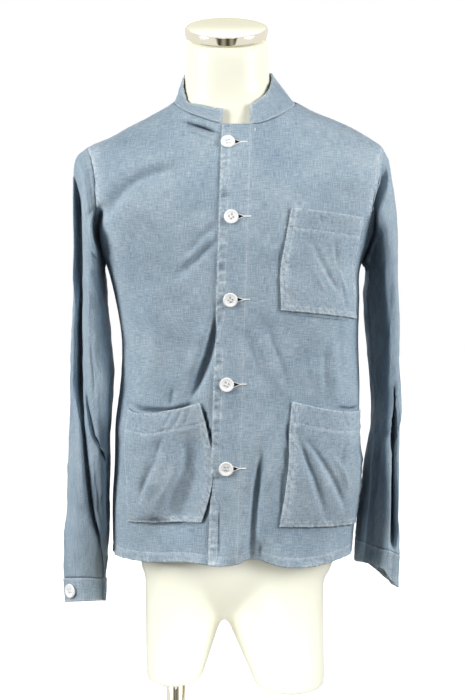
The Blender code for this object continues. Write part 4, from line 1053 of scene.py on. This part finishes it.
pocketCut = {
    # corners as seen: top left, top right, lower left, lower right (x, z); mouth sag and gape;
    # bow of the right edge; creases and swells in shares across and up
    "chest_pocket": {
        "corners": (0.0784, 0.9843, 0.1775, 0.9708, 0.0645, 0.8471, 0.1700, 0.8310),
        "sag": 0.0, "gape": 0.0012, "bow": 0.0, "puff": 0.0024, "flat": (0.135, 0.145),
        "creases": [
            ([(0.22, 0.74), (0.42, 0.50), (0.66, 0.20)], 0.030, -0.0027),
            ([(0.62, 0.62), (0.74, 0.18)], 0.032, 0.0024),
            ([(0.52, 0.76), (0.70, 0.40)], 0.028, -0.0025), ([(0.68, 0.36), (0.72, 0.06)], 0.024, -0.0030),
            ([(0.30, 0.45), (0.45, 0.22)], 0.030, 0.0018), ([(0.44, 0.97), (0.48, 0.86)], 0.018, -0.0016),
            ([(0.30, 0.98), (0.35, 0.86)], 0.018, -0.0014), ([(0.62, 0.97), (0.66, 0.86)], 0.018, -0.0012)],
        "swells": [],
    },
    "hip_pocket_left": {
        "corners": (0.0791, 0.7253, 0.1730, 0.7060, 0.0622, 0.5580, 0.1690, 0.5480),
        "sag": 0.006, "gape": 0.0050, "bow": 0.0, "puff": 0.0052, "flat": (0.152, 0.167),
        "creases": [
            ([(0.04, 0.82), (0.14, 0.56), (0.24, 0.34), (0.38, 0.08)], 0.028, -0.0064),
            ([(0.08, 0.78), (0.34, 0.46), (0.50, 0.26), (0.62, 0.12)], 0.028, -0.0050),
            ([(0.58, 0.82), (0.50, 0.60), (0.40, 0.40)], 0.026, -0.0032),
            ([(0.14, 0.70), (0.32, 0.32)], 0.030, 0.0040),
            ([(0.40, 0.60), (0.60, 0.30)], 0.030, 0.0034),
            ([(0.55, 0.98), (0.62, 0.84)], 0.020, -0.0030), ([(0.72, 0.96), (0.70, 0.84)], 0.020, -0.0028),
            ([(0.88, 0.66), (0.80, 0.30)], 0.028, 0.0012)],
        "swells": [(0.55, 0.45, 0.22, 0.36, 0.0030)],
    },
    "hip_pocket_right": {
        "corners": (-0.1418, 0.7110, -0.0440, 0.7236, -0.1404, 0.5580, -0.0420, 0.5640),
        "sag": 0.009, "gape": 0.0075, "bow": 0.0140, "puff": 0.0070, "flat": (0.150, 0.165),
        "creases": [
            ([(0.97, 0.94), (0.93, 0.66), (0.87, 0.36), (0.68, 0.02), (0.64, -0.05)], 0.200, -0.0165),
            ([(0.76, 0.72), (0.66, 0.42), (0.46, 0.10)], 0.042, 0.0046),
            ([(0.60, 0.82), (0.48, 0.54), (0.28, 0.20)], 0.040, -0.0052),
            ([(0.90, 1.00), (0.80, 0.84)], 0.018, -0.0034), ([(0.82, 1.00), (0.70, 0.84)], 0.018, -0.0028),
            ([(0.73, 1.00), (0.62, 0.86)], 0.018, -0.0022), ([(0.25, 0.98), (0.34, 0.84)], 0.020, -0.0022)],
        "swells": [(0.40, 0.42, 0.22, 0.55, 0.0080), (1.0, 0.40, 0.10, 0.34, 0.0040)],
    },
    "rows": 84, "cols": 72, "cloth": 0.0011, "lift": 0.0026, "hem": 0.027, "edgeRows": (0.0016, 0.0078),
    "bowSpan": 0.16, "mouthFrom": 0.55, "bulge": 0.8, "puffTop": (0.6, 0.7), "puffSide": 0.55,
    "sewnFade": (0.010, -0.004, 0.010),  # flat this near the lower edge, then from and to at the sides
    "floor": (0.0018, 0.0009),  # how near the cloth behind lets it come, and how softly
    "ripple": (0.0006, 9.0), "rub": 0.14, "rubRow": 0.0075,
}


def pocketPiece(name, label):
    cut = pocketCut[name]
    x0, z0, x1, z1, x2, z2, x3, z3 = cut["corners"]
    lap = name != "hip_pocket_right"
    up = np.linspace(0.0, 1.0, pocketCut["rows"])[:, None]
    across = np.linspace(0.0, 1.0, pocketCut["cols"])[None, :]
    bulge = np.sin(math.pi * up) ** pocketCut["bulge"]
    z = (1 - up) * ((1 - across) * z2 + across * z3) + up * ((1 - across) * z0 + across * z1)
    lower = (1 - across) * angleAt(x2, z2) + across * angleAt(x3, z3)
    upper = (1 - across) * angleAt(x0, z0) + across * angleAt(x1, z1)
    angle = (1 - up) * lower + up * upper
    angle = angle + bulge * (cut["bow"] * across ** 2) / pocketCut["bowSpan"]
    mouth = ease(pocketCut["mouthFrom"], 1.0, up)
    swell = np.sin(math.pi * across)
    z = z - cut["sag"] * swell * mouth
    ground = bodyPoint(angle, z, lap, folded=False)
    normals = gridNormals(ground)
    fromSide, fromBottom = np.minimum(across, 1 - across) * cut["flat"][0], up * cut["flat"][1]
    edge = np.minimum(fromSide, fromBottom)
    lift = pocketCut["lift"] + cut["gape"] * swell * mouth
    topLoss, topFrom = pocketCut["puffTop"]
    inner = 1.0 - ease(pocketCut["puffSide"], 1.0, across) * lap
    fold = cut["puff"] * bulge * (1.0 - topLoss * ease(topFrom, 1.0, up)) * inner
    fold = fold + foldSum(cut["creases"], across + 0 * up, up + 0 * across)
    for a, b, wide, tall, height in cut["swells"]:
        fold = fold + height * np.exp(-((across - a) / wide) ** 2 - ((up - b) / tall) ** 2)
    bottomEnd, sideStart, sideEnd = pocketCut["sewnFade"]
    fold = fold * ease(0.0, bottomEnd, fromBottom) * ease(sideStart, sideEnd, fromSide)
    high, rate = pocketCut["ripple"]
    lift = lift + fold + high * cloudNoise(across * rate, up * rate, 59 + len(name))
    low, soft = pocketCut["floor"]
    lift = low + np.logaddexp(0.0, (lift - low) / soft) * soft
    points = ground + normals * lift[..., None]
    normals = gridNormals(points)
    u, v = gridSpans(points)
    fromTop = v[-1:] - v
    fromRow = fromTop - pocketCut["hem"]
    points = gather(points, normals, edge + 0 * u, u + v, "pocketEdge", 61)
    points = gather(points, normals, np.abs(fromTop - 0.5 * pocketCut["hem"]), u, "pocketMouth", 67)
    points = points - normals * grooveAndShade(fromRow, "pocketHem")[..., None]
    normals = gridNormals(points)
    wearAndShade = pocketCut["rub"] + rubbed(edge, "pocketEdge") + rubbed(edge - pocketCut["rubRow"], "pocketRow")
    wearAndShade = wearAndShade + rubbed(fromTop, "pocketTop")
    wearAndShade = wearAndShade + rubbed(fromRow, "pocketHem")
    dash, breadth = seamCut["dashes"]
    wearAndShade = wearAndShade + mottle(cloudNoise((u + v) / dash, edge / breadth, 62), edge, "pocket")
    obj = clothObject(label, points, wearAndShade, pocketCut["cloth"], 0)
    sew(obj, [name])
    for side in ("left", "right", "bottom"):
        for distance in pocketCut["edgeRows"]:
            stitch(points, normals, distance, side)
    stitch(points, normals, pocketCut["hem"], "top")


pocketPiece("chest_pocket", "chestPocket")
pocketPiece("hip_pocket_left", "hipPocketLeft")
pocketPiece("hip_pocket_right", "hipPocketRight")
print("pockets sewn on")


# topstitching: one short thread a stitch, drawn twice as thick as the real 0.45 mm so that the rows show

stitchCut = {"pitch": 0.0032, "length": 0.0023, "radius": 0.00046, "sink": 0.00012, "probe": 0.0008}


def threadTree(name, material):
    tree = bpy.data.node_groups.new(name, "GeometryNodeTree")
    face = tree.interface
    face.new_socket("Geometry", in_out="INPUT", socket_type="NodeSocketGeometry")
    for label in ("Stitch Length", "Thread Radius"):
        face.new_socket(label, in_out="INPUT", socket_type="NodeSocketFloat")
    face.new_socket("Geometry", in_out="OUTPUT", socket_type="NodeSocketGeometry")
    given = addNode(tree, "NodeGroupInput")
    double = addNode(tree, "ShaderNodeMath", {"operation": "MULTIPLY"},
                     {1: 2.0}, {0: given.outputs["Thread Radius"]})
    size = addNode(tree, "ShaderNodeCombineXYZ", links={
        "X": given.outputs["Stitch Length"], "Y": double.outputs[0], "Z": double.outputs[0]})
    bead = addNode(tree, "GeometryNodeMeshIcoSphere", inputs={"Radius": 0.5, "Subdivisions": 1})
    along, raised = (
        addNode(tree, "GeometryNodeInputNamedAttribute", {"data_type": "FLOAT_VECTOR"}, {"Name": label})
        for label in ("along", "raised"))
    first = addNode(tree, "FunctionNodeAlignRotationToVector", {"axis": "X"},
                    links={"Vector": along.outputs["Attribute"]})
    second = addNode(tree, "FunctionNodeAlignRotationToVector", {"axis": "Z", "pivot_axis": "X"}, links={
        "Rotation": first.outputs["Rotation"], "Vector": raised.outputs["Attribute"]})
    placed = addNode(tree, "GeometryNodeInstanceOnPoints", links={
        "Points": given.outputs["Geometry"], "Instance": bead.outputs["Mesh"],
        "Rotation": second.outputs["Rotation"], "Scale": size.outputs["Vector"]})
    real = addNode(tree, "GeometryNodeRealizeInstances", links={"Geometry": placed.outputs["Instances"]})
    painted = addNode(tree, "GeometryNodeSetMaterial", inputs={"Material": material},
                      links={"Geometry": real.outputs["Geometry"]})
    addNode(tree, "NodeGroupOutput", links={"Geometry": painted.outputs["Geometry"]})
    return tree


def threadObject(name, spots, along, raised, tree, material, length, radius):
    mesh = bpy.data.meshes.new(name + "Spots")
    mesh.from_pydata(spots.tolist(), [], [])
    for label, values in (("along", along), ("raised", raised)):
        mesh.attributes.new(label, "FLOAT_VECTOR", "POINT").data.foreach_set("vector", values.ravel())
    seed = addObject(name + "Spots", mesh)
    sewer = seed.modifiers.new("thread", "NODES")
    sewer.node_group = tree
    sockets = {s.name: s.identifier for s in tree.interface.items_tree if s.in_out == "INPUT"}
    sewer[sockets["Stitch Length"]] = length
    sewer[sockets["Thread Radius"]] = radius
    made = bakedMesh(seed)
    made.name = name
    if not made.materials:
        made.materials.append(material)
    made.polygons.foreach_set("use_smooth", np.ones(len(made.polygons), bool))
    return addObject(name, made)


def rowSpots(line, normals):  # place, direction and normal of each stitch in a row
    span = runLength(line)
    count = max(int(span[-1] / stitchCut["pitch"]), 1)
    at = (np.arange(count) + 0.5) * span[-1] / count

    def along(values, shift=0.0):
        return np.stack([np.interp(at + shift, span, values[:, k]) for k in range(3)], axis=-1)

    up = unit(along(normals))
    ahead = along(line, stitchCut["probe"]) - along(line, -stitchCut["probe"])
    return along(line) - stitchCut["sink"] * up, unit(ahead), up


rows = [rowSpots(line, up) for line, up in stitchRows]
topstitch = threadObject(
    "topstitching", *(np.concatenate(part) for part in zip(*rows)),
    threadTree("topstitchThread", cottonThread), cottonThread, stitchCut["length"], stitchCut["radius"])
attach(topstitch, "root")
print("topstitching rows:", len(rows), "stitches:", sum(len(r[0]) for r in rows))


# buttons: cast resin, four holes, sewn with white thread, and a worked buttonhole beside each

buttonCut = {
    "radius": 0.00975, "thick": 0.0026, "hole": 0.00125, "holeOut": 0.0029, "gap": 0.0008, "points": 40,
    "drill": (-0.002, 0.006, 14), "twist": 0.3, "cuffTwist": 0.4, "cuffReach": 7,
    "barHeight": 0.80, "barArch": 0.0004, "barBeads": 5,
    "cuffs": [("cuffButtonRight", "cuff_button_right", cuffRight, 60.0),  # degrees round from the outer edge
              ("cuffButtonLeft", "cuff_button_left", cuffLeft, -60.0)],
    "front": [(-0.0063, 1.0726), (-0.0017, 0.9723), (-0.0029, 0.8615), (-0.0072, 0.7483), (-0.0085, 0.6363)],
    "profile": [  # radius share, height share
        (0.00, 0.00), (0.90, 0.00), (0.97, 0.10), (1.00, 0.32), (0.99, 0.62), (0.95, 0.88), (0.88, 1.00),
        (0.80, 0.97), (0.72, 0.82), (0.66, 0.74), (0.40, 0.72), (0.00, 0.72)],
}


def lathe(profile, count):  # closed turned shape about z, poles merged
    turn = np.linspace(0.0, 2.0 * math.pi, count, endpoint=False)
    verts, faces, rings = [], [], []
    for radius, height in profile:
        if radius < 1e-6:
            rings.append([len(verts)])
            verts.append((0.0, 0.0, height))
        else:
            rings.append(list(range(len(verts), len(verts) + count)))
            verts += [(radius * math.cos(t), radius * math.sin(t), height) for t in turn]
    for a, b in zip(rings[:-1], rings[1:]):
        for k in range(count):
            j = (k + 1) % count
            if len(a) == 1:
                faces.append((a[0], b[j], b[k]))
            elif len(b) == 1:
                faces.append((a[k], a[j], b[0]))
            else:
                faces.append((a[k], a[j], b[j], b[k]))
    return verts, faces


def meshObject(name, verts, faces, material, smooth=True):
    mesh = bpy.data.meshes.new(name)
    mesh.from_pydata([tuple(v) for v in verts], [], faces)
    mesh.polygons.foreach_set("use_smooth", np.full(len(faces), smooth))
    mesh.materials.append(material)
    return addObject(name, mesh)


def buttonBlank():
    size, tall = buttonCut["radius"], buttonCut["thick"]
    verts, faces = lathe([(r * size, h * tall) for r, h in buttonCut["profile"]], buttonCut["points"])
    blank = meshObject("buttonBlank", verts, faces, buttonResin)
    drillVerts, drillFaces = [], []
    for k in range(4):
        at = math.pi / 4 + k * math.pi / 2
        spot = (buttonCut["holeOut"] * math.cos(at), buttonCut["holeOut"] * math.sin(at))
        start = len(drillVerts)
        low, high, sides = buttonCut["drill"]
        v, f = lathe([(0.0, low), (buttonCut["hole"], low), (buttonCut["hole"], high), (0.0, high)], sides)
        drillVerts += [(p[0] + spot[0], p[1] + spot[1], p[2]) for p in v]
        drillFaces += [tuple(start + i for i in face) for face in f]
    drill = meshObject("buttonDrill", drillVerts, drillFaces, buttonResin)
    cut = blank.modifiers.new("holes", "BOOLEAN")
    cut.operation = "DIFFERENCE"
    cut.solver = "EXACT"
    cut.object = drill
    return bakedMesh(blank, drill)


threadSpots = []  # place, direction and normal of every bead of white thread


def addThread(spot, along, normal):
    threadSpots.append([tuple(v) for v in (spot, along, normal)])


def placeButton(name, node, blank, spot, normal, twist):
    out = unit(np.array(normal))
    across = unit(np.cross(np.array([0.0, 0.0, 1.0]), out))
    axes = np.column_stack([across, np.cross(out, across), out])
    place = Matrix([(*axes[i], spot[i]) for i in range(3)] + [(0, 0, 0, 1)]) @ Matrix.Rotation(twist, 4, "Z")
    mesh = blank.copy()
    mesh.name = name
    mesh.transform(place)
    obj = addObject(name, mesh)
    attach(obj, "root")
    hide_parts(node)
    reach = buttonCut["holeOut"] * math.sqrt(0.5)
    for side in (-1, 1):  # two bars of thread across the four holes
        for k in range(buttonCut["barBeads"]):
            share = k / (buttonCut["barBeads"] - 1) - 0.5
            arch = buttonCut["barArch"] * math.cos(math.pi * share)
            high = buttonCut["barHeight"] * buttonCut["thick"] + arch
            bead = place @ Vector((share * 2.0 * reach, side * reach, high))
            addThread(bead, place.to_3x3() @ Vector((1, 0, 0)), normal)


def lapSurface(x, z):  # a point on the wearer's left front, and its normal
    step = 0.0008
    here = bodyPoint(angleAt(x, z), z, lap=True)
    right = bodyPoint(angleAt(x + step, z), z, lap=True)
    above = bodyPoint(angleAt(x, z + step), z + step, lap=True)
    return here, unit(np.cross(right - here, above - here))


blank = buttonBlank()
reach = buttonCut["radius"]
for number, (x, z) in enumerate(buttonCut["front"], start=1):
    here, normal = lapSurface(x, z)
    around = [lapSurface(x + dx * reach, z + dz * reach)[0] for dx in (-1, 0, 1) for dz in (-1, 0, 1)]
    lift = max(float((p - here).dot(normal)) for p in around) + buttonCut["gap"]
    placeButton(f"frontButton{number}", f"front_button_{number}", blank, here + lift * normal, normal,
                buttonCut["twist"] * number)
for label, node, (points, normals), degrees in buttonCut["cuffs"]:
    k = round(degrees / 360.0 * points.shape[1]) % points.shape[1]
    middle = len(points) // 2
    beside = np.arange(k - buttonCut["cuffReach"], k + buttonCut["cuffReach"] + 1)
    near = points[:, beside % points.shape[1]].reshape(-1, 3)
    here, normal = points[middle, k], normals[middle, k]
    lift = float(((near - here) @ normal).max()) + buttonCut["gap"]
    placeButton(label, node, blank, here + lift * normal, normal, buttonCut["cuffTwist"])

holeCut = {
    "start": 0.0072, "open": 0.0100, "end": 0.0262, "wide": 0.0036, "tilt": 0.03, "stitches": 30, "cuts": 8,
    "under": 0.0010, "lip": 0.00035, "point": 0.0001, "threadLift": 0.0003, "slitLift": 0.0005,
    "tack": (0.0303, 1.0900), "tackBeads": 5, "tackPitch": 0.0007, "tackLift": 0.0006,
    "length": 0.0017, "radius": 0.00045,
}
slitVerts, slitFaces = [], []
for x, z in buttonCut["front"]:  # the cut gapes beside the button and closes to a worked bar
    for k in range(holeCut["stitches"]):
        share = k / (holeCut["stitches"] - 1)
        dx = holeCut["start"] + (holeCut["end"] - holeCut["start"]) * share
        gape = max(0.0, 1.0 - (dx - holeCut["start"]) / holeCut["open"])
        for side in (-1, 1):
            wide = holeCut["wide"] * gape + holeCut["lip"]
            here, normal = lapSurface(x + dx, z + side * wide + holeCut["tilt"] * dx)
            addThread(here + holeCut["threadLift"] * normal, (0.6, 0.0, float(side)), normal)
    start, cuts = len(slitVerts), holeCut["cuts"]
    for k in range(cuts + 1):
        dx = holeCut["start"] - holeCut["under"] + (holeCut["open"] + holeCut["under"]) * k / cuts
        for side in (-1, 1):
            wide = (holeCut["wide"] - holeCut["point"]) * (1.0 - k / cuts) + holeCut["point"]
            here, normal = lapSurface(x + dx, z + side * wide + holeCut["tilt"] * dx)
            slitVerts.append(here + holeCut["slitLift"] * normal)
    slitFaces += [tuple(start + 2 * k + corner for corner in (0, 2, 3, 1)) for k in range(cuts)]
for k in range(holeCut["tackBeads"]):  # the bar tack where the placket ends under the collar
    x, z = holeCut["tack"]
    here, normal = lapSurface(x, z + holeCut["tackPitch"] * (k - holeCut["tackBeads"] // 2))
    addThread(here + holeCut["tackLift"] * normal, (1.0, 0.0, 0.2), normal)
buttonThread = threadObject(
    "buttonThread", *(np.array(part) for part in zip(*threadSpots)),
    threadTree("buttonholeThread", whiteThread), whiteThread, holeCut["length"], holeCut["radius"])
# painted shade: a near-black sheet over each cut
slits = meshObject("buttonholeCuts", slitVerts, slitFaces, slitDark)
for piece in (buttonThread, slits):
    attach(piece, "root")
print("buttons and buttonholes done")


# dress form: torso, tilted neck and cut thigh ends in one smooth moulding

formRings = np.array([
    # z, half width, front depth, back depth, centre x, forward tilt
    [0.417, 0.0140, 0.0300, 0.0300, -0.0120, 0.0],
    [0.430, 0.0560, 0.0560, 0.0600, -0.0060, 0.0],
    [0.448, 0.1000, 0.0740, 0.0800, 0.0020, 0.0],
    [0.472, 0.1270, 0.0880, 0.0950, 0.0050, 0.0],
    [0.530, 0.1300, 0.0920, 0.1000, 0.0050, 0.0],
    [0.600, 0.1290, 0.0910, 0.0980, 0.0050, 0.0],
    [0.680, 0.1240, 0.0880, 0.0880, 0.0050, 0.0],
    [0.750, 0.1220, 0.0880, 0.0820, 0.0050, 0.0],
    [0.820, 0.1320, 0.0930, 0.0840, 0.0050, 0.0],
    [0.880, 0.1500, 0.1010, 0.0920, 0.0030, 0.0],
    [0.930, 0.1660, 0.1050, 0.1000, 0.0020, 0.0],
    [0.980, 0.1800, 0.1040, 0.1060, 0.0030, 0.0],
    [1.015, 0.1870, 0.0970, 0.1060, 0.0040, 0.0],
    [1.040, 0.1890, 0.0880, 0.1030, 0.0040, 0.0],
    [1.055, 0.1880, 0.0810, 0.0990, 0.0040, 0.0],
    [1.066, 0.1820, 0.0760, 0.0960, 0.0040, 0.0],
    [1.082, 0.1640, 0.0700, 0.0930, 0.0090, 0.0],
    [1.096, 0.1400, 0.0640, 0.0880, 0.0095, 0.0],
    [1.107, 0.1170, 0.0590, 0.0830, 0.0080, 0.0],
    [1.117, 0.0950, 0.0560, 0.0780, 0.0045, 0.0],
    [1.128, 0.0710, 0.0515, 0.0700, 0.0000, 0.0],
    [1.140, 0.0615, 0.0505, 0.0650, -0.0050, 0.0],
    [1.160, 0.0595, 0.0510, 0.0615, -0.0072, 0.1],
    [1.195, 0.0595, 0.0525, 0.0605, -0.0072, 0.6],
    [1.224, 0.0595, 0.0525, 0.0605, -0.0080, 1.0],
])
formCut = {
    "tilt": math.radians(20.0), "neckY": 0.0042, "crotch": 0.417,
    "points": 96, "rings": 150, "stumpRings": 24, "voxel": 0.0045, "smooth": (0.5, 16),
    "stumps": [  # centre x, half width, half depth, z at the cut end, then at the top
        (-0.0820, 0.0390, 0.0600, 0.327, -0.0540, 0.0680, 0.0900, 0.500),
        (0.0810, 0.0480, 0.0640, 0.317, 0.0400, 0.0870, 0.0900, 0.500)],
}


def closedRings(rings):  # faces of a stack of rings with both ends capped
    rows, cols = rings.shape[:2]
    faces = []
    for r in range(rows - 1):
        for c in range(cols):
            d = (c + 1) % cols
            faces.append((r * cols + c, r * cols + d, (r + 1) * cols + d, (r + 1) * cols + c))
    faces.append(tuple(reversed(range(cols))))
    faces.append(tuple((rows - 1) * cols + c for c in range(cols)))
    return rings.reshape(-1, 3).tolist(), faces


def formPiece():
    turn = np.linspace(0.0, 2.0 * math.pi, formCut["points"], endpoint=False)
    z = np.linspace(formCut["crotch"], formRings[-1, 0], formCut["rings"])
    half, front, rear, centre, tilt = np.moveaxis(rowsAt(formRings, z), -1, 0)
    x = centre[:, None] + half[:, None] * np.sin(turn)
    y = -np.where(np.cos(turn) > 0, front[:, None], rear[:, None]) * np.cos(turn)
    tall = z[:, None] + (y - formCut["neckY"]) * tilt[:, None] * math.tan(formCut["tilt"])
    verts, faces = closedRings(np.stack([x, y, tall], axis=-1))
    for x0, half0, deep0, z0, x1, half1, deep1, z1 in formCut["stumps"]:
        share = np.linspace(0.0, 1.0, formCut["stumpRings"])[:, None]
        stump = np.stack([
            x0 + (x1 - x0) * share + (half0 + (half1 - half0) * share) * np.sin(turn),
            -(deep0 + (deep1 - deep0) * share) * np.cos(turn) + 0 * share,
            z0 + (z1 - z0) * share + 0 * turn], axis=-1)
        start = len(verts)
        moreVerts, moreFaces = closedRings(stump)
        verts += moreVerts
        faces += [tuple(start + i for i in face) for face in moreFaces]
    raw = meshObject("formRaw", verts, faces, formShell)
    skin = raw.modifiers.new("skin", "REMESH")
    skin.mode = "VOXEL"
    skin.voxel_size = formCut["voxel"]
    skin.use_smooth_shade = True
    soft = raw.modifiers.new("soft", "SMOOTH")
    soft.factor, soft.iterations = formCut["smooth"]
    made = bakedMesh(raw)
    made.name = "dressForm"
    if not made.materials:
        made.materials.append(formShell)
    obj = addObject("dressForm", made)
    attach(obj, "root")
    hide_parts("form_torso")


formPiece()
print("dress form done")


# neck cap, pole and base

standCut = {
    "capRadius": 0.0595, "capHeight": 0.0128, "capCentre": (-0.0084, 0.0042, 1.2249),
    "poleX": -0.079, "poleRadius": 0.0138, "poleFoot": 0.0163, "poleTop": 0.3267,
    "base": [  # radius, height
        (0.0, 0.0), (0.1770, 0.0), (0.1793, 0.0006), (0.1800, 0.0022), (0.1800, 0.0118),
        (0.1794, 0.0142), (0.1778, 0.0156), (0.1750, 0.0160), (0.0, 0.0160)],
    "round": {"cap": 128, "pole": 64, "base": 128},  # points round each
}


def turnedPiece(name, node, profile, count, place, material):
    verts, faces = lathe(profile, count)
    obj = meshObject(name, verts, faces, material)
    obj.data.transform(place)
    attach(obj, "root")
    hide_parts(node)
    return obj


capPlace = Matrix.Translation(Vector(standCut["capCentre"])) @ Matrix.Rotation(formCut["tilt"], 4, "X")
r, h = standCut["capRadius"], standCut["capHeight"]
cap = turnedPiece("neckCap", "neck_cap", [
    (0.0, 0.0), (r - 0.0008, 0.0), (r - 0.0001, 0.0006), (r, 0.0020), (r, h - 0.0022),
    (r - 0.0004, h - 0.0010), (r - 0.0016, h - 0.0002), (r - 0.0030, h), (r - 0.0048, h - 0.0004),
    (0.0, h - 0.0003)], standCut["round"]["cap"], capPlace, chromePlate)
cap.data.materials.append(capTop)
for polygon in cap.data.polygons:  # the disc inside the rolled rim
    inner = max((capPlace.inverted() @ cap.data.vertices[i].co).xy.length for i in polygon.vertices)
    up = (capPlace.inverted() @ polygon.center).z
    if inner < r - 0.0040 and up > 0.5 * h:
        polygon.material_index = 1
poleR, foot, top = standCut["poleRadius"], standCut["poleFoot"], standCut["poleTop"]
turnedPiece("standPole", "stand_pole", [
    (0.0, foot), (poleR - 0.0006, foot), (poleR, foot + 0.0008), (poleR, top - 0.0008),
    (poleR - 0.0006, top), (0.0, top)], standCut["round"]["pole"],
    Matrix.Translation(Vector((standCut["poleX"], 0.0, 0.0))), chromePlate)
turnedPiece("standBase", "stand_base", standCut["base"], standCut["round"]["base"],
            Matrix.Identity(4), basePaint)
print("stand done")


# floor and light: pale floor that glows, dim round the stand as a painted shadow; soft boxes at both sides,
# above and behind, a low spot and a white surround

lightSet = {
    "fill": 0.06,  # how far the surround lights the cloth
    "shade": "#4a3f28",  # the room before the stand, seen in reflections alone
    "room": {"spread": 0.6, "edge": (0.02, 0.08), "stripes": (17.0, 0.6), "faintest": 0.62},
    "floor": ("#eeeeec", "#f6f6f5"), "floorShape": (9.0, 64, -0.0005),  # colours; radius, corners, height
    "paintedFloorGlow": (0.30, 1.0), "glowRadius": (0.35, 1.1),  # painted light of the floor: dim at the stand as a painted shadow, and full far from it
    "boxes": [  # place, aim, width, height, watts
        ((-1.98, -1.10, 1.50), (0.0, 0.0, 0.85), 0.9, 1.4, 56.0),
        ((1.98, -1.10, 1.50), (0.0, 0.0, 0.85), 0.9, 1.4, 53.0),
        ((0.0, -1.6, 2.9), (0.0, 0.0, 0.90), 1.4, 0.8, 8.0),
        ((0.0, 2.3, 1.6), (0.0, 0.0, 0.85), 1.8, 1.2, 44.0)],
    "low": {  # a spot on the form under the hem
        "place": (0.0, -2.2, 0.22), "aim": (0.0, 0.0, 0.322),
        "angle": 10.2, "blend": 0.45, "radius": 0.12, "watts": 180.0},
}
scene = bpy.context.scene
scene.view_settings.view_transform = "Standard"
world = bpy.data.worlds.new("surround")
scene.world = world
world.use_nodes = True
worldTree = world.node_tree
surround = worldTree.nodes["Background"]
roomLook = lightSet["room"]
rayKind = addNode(worldTree, "ShaderNodeLightPath")
way = addNode(worldTree, "ShaderNodeSeparateXYZ", links={
    "Vector": addNode(worldTree, "ShaderNodeTexCoord").outputs["Generated"]})
sideways = addNode(worldTree, "ShaderNodeMath", {"operation": "ABSOLUTE"}, links={0: way.outputs["X"]})
forward = addNode(worldTree, "ShaderNodeMath", {"operation": "MULTIPLY"},
                  {1: -roomLook["spread"]}, {0: way.outputs["Y"]})
ahead = addNode(worldTree, "ShaderNodeMath", {"operation": "SUBTRACT"}, links={
    0: forward.outputs["Value"], 1: sideways.outputs["Value"]})
room = addNode(worldTree, "ShaderNodeMapRange", inputs={
    "From Min": roomLook["edge"][0], "From Max": roomLook["edge"][1]},
    links={"Value": ahead.outputs["Value"]})
stripe = addNode(worldTree, "ShaderNodeMath", {"operation": "MULTIPLY_ADD"},
                 dict(enumerate(roomLook["stripes"], start=1)), {0: way.outputs["X"]})
banded = addNode(worldTree, "ShaderNodeMath", {"operation": "SINE"}, links={0: stripe.outputs["Value"]})
paler = addNode(worldTree, "ShaderNodeMapRange", inputs={
    "From Min": -1.0, "From Max": 1.0, "To Min": roomLook["faintest"], "To Max": 1.0},
    links={"Value": banded.outputs["Value"]})
depth = addNode(worldTree, "ShaderNodeMath", {"operation": "MULTIPLY"}, links={
    0: room.outputs["Result"], 1: paler.outputs["Result"]})
mirrored = addNode(worldTree, "ShaderNodeMath", {"operation": "MULTIPLY"}, links={
    0: depth.outputs["Value"], 1: rayKind.outputs["Is Glossy Ray"]})  # the eye itself sees a white surround
tint = addNode(worldTree, "ShaderNodeMix", {"data_type": "RGBA"}, links={"Factor": mirrored.outputs["Value"]})
tint.inputs["A"].default_value = (1.0, 1.0, 1.0, 1.0)
tint.inputs["B"].default_value = hexColour(lightSet["shade"])
worldTree.links.new(tint.outputs["Result"], surround.inputs["Color"])
seen = addNode(worldTree, "ShaderNodeMath", {"operation": "MAXIMUM"}, links={
    0: rayKind.outputs["Is Camera Ray"], 1: rayKind.outputs["Is Glossy Ray"]})
strength = addNode(worldTree, "ShaderNodeMath", {"operation": "MAXIMUM"},
                   {1: lightSet["fill"]}, {0: seen.outputs["Value"]})
worldTree.links.new(strength.outputs["Value"], surround.inputs["Strength"])


def aimLamp(lamp, place, aim):
    obj = addObject(lamp.name, lamp)
    obj.location = place
    obj.rotation_euler = (Vector(aim) - Vector(place)).to_track_quat("-Z", "Y").to_euler()


for n, (place, aim, wide, tall, watts) in enumerate(lightSet["boxes"]):
    lamp = bpy.data.lights.new(f"softBox{n}", "AREA")
    lamp.shape = "RECTANGLE"
    lamp.size, lamp.size_y, lamp.energy = wide, tall, watts
    aimLamp(lamp, place, aim)
low = lightSet["low"]
lamp = bpy.data.lights.new("lowSpot", "SPOT")
lamp.energy, lamp.shadow_soft_size, lamp.spot_blend = low["watts"], low["radius"], low["blend"]
lamp.spot_size = math.radians(low["angle"])
aimLamp(lamp, low["place"], low["aim"])
floorMaterial = grainMaterial("paperFloor", *lightSet["floor"], 400.0, 0.9)
floorTree = floorMaterial.node_tree
floorShader = floorTree.nodes["Principled BSDF"]
floorShader.inputs["Emission Color"].default_value = (1.0, 1.0, 1.0, 1.0)
floorPlace = addNode(floorTree, "ShaderNodeTexCoord").outputs["Object"]
fromMiddle = addNode(floorTree, "ShaderNodeVectorMath", {"operation": "LENGTH"}, links={0: floorPlace})
(near, far), (dim, bright) = lightSet["glowRadius"], lightSet["paintedFloorGlow"]
paintedGlow = addNode(floorTree, "ShaderNodeMapRange", inputs={  # painted light: the floor glows, dim near the stand as a painted shadow and bright far off
    "From Min": near, "From Max": far, "To Min": dim, "To Max": bright},
    links={"Value": fromMiddle.outputs["Value"]})
floorTree.links.new(paintedGlow.outputs["Result"], floorShader.inputs["Emission Strength"])
reach, corners, height = lightSet["floorShape"]
ring = np.linspace(0, 2 * math.pi, corners, endpoint=False)
ringVerts = [(reach * math.cos(t), reach * math.sin(t), height) for t in ring]
floor = meshObject("paperFloor", ringVerts, [tuple(range(corners))], floorMaterial, smooth=False)
floor.visible_diffuse = False  # the white sweep is seen but throws no light up under the cloth
floor.visible_glossy = False
print("floor and light set")
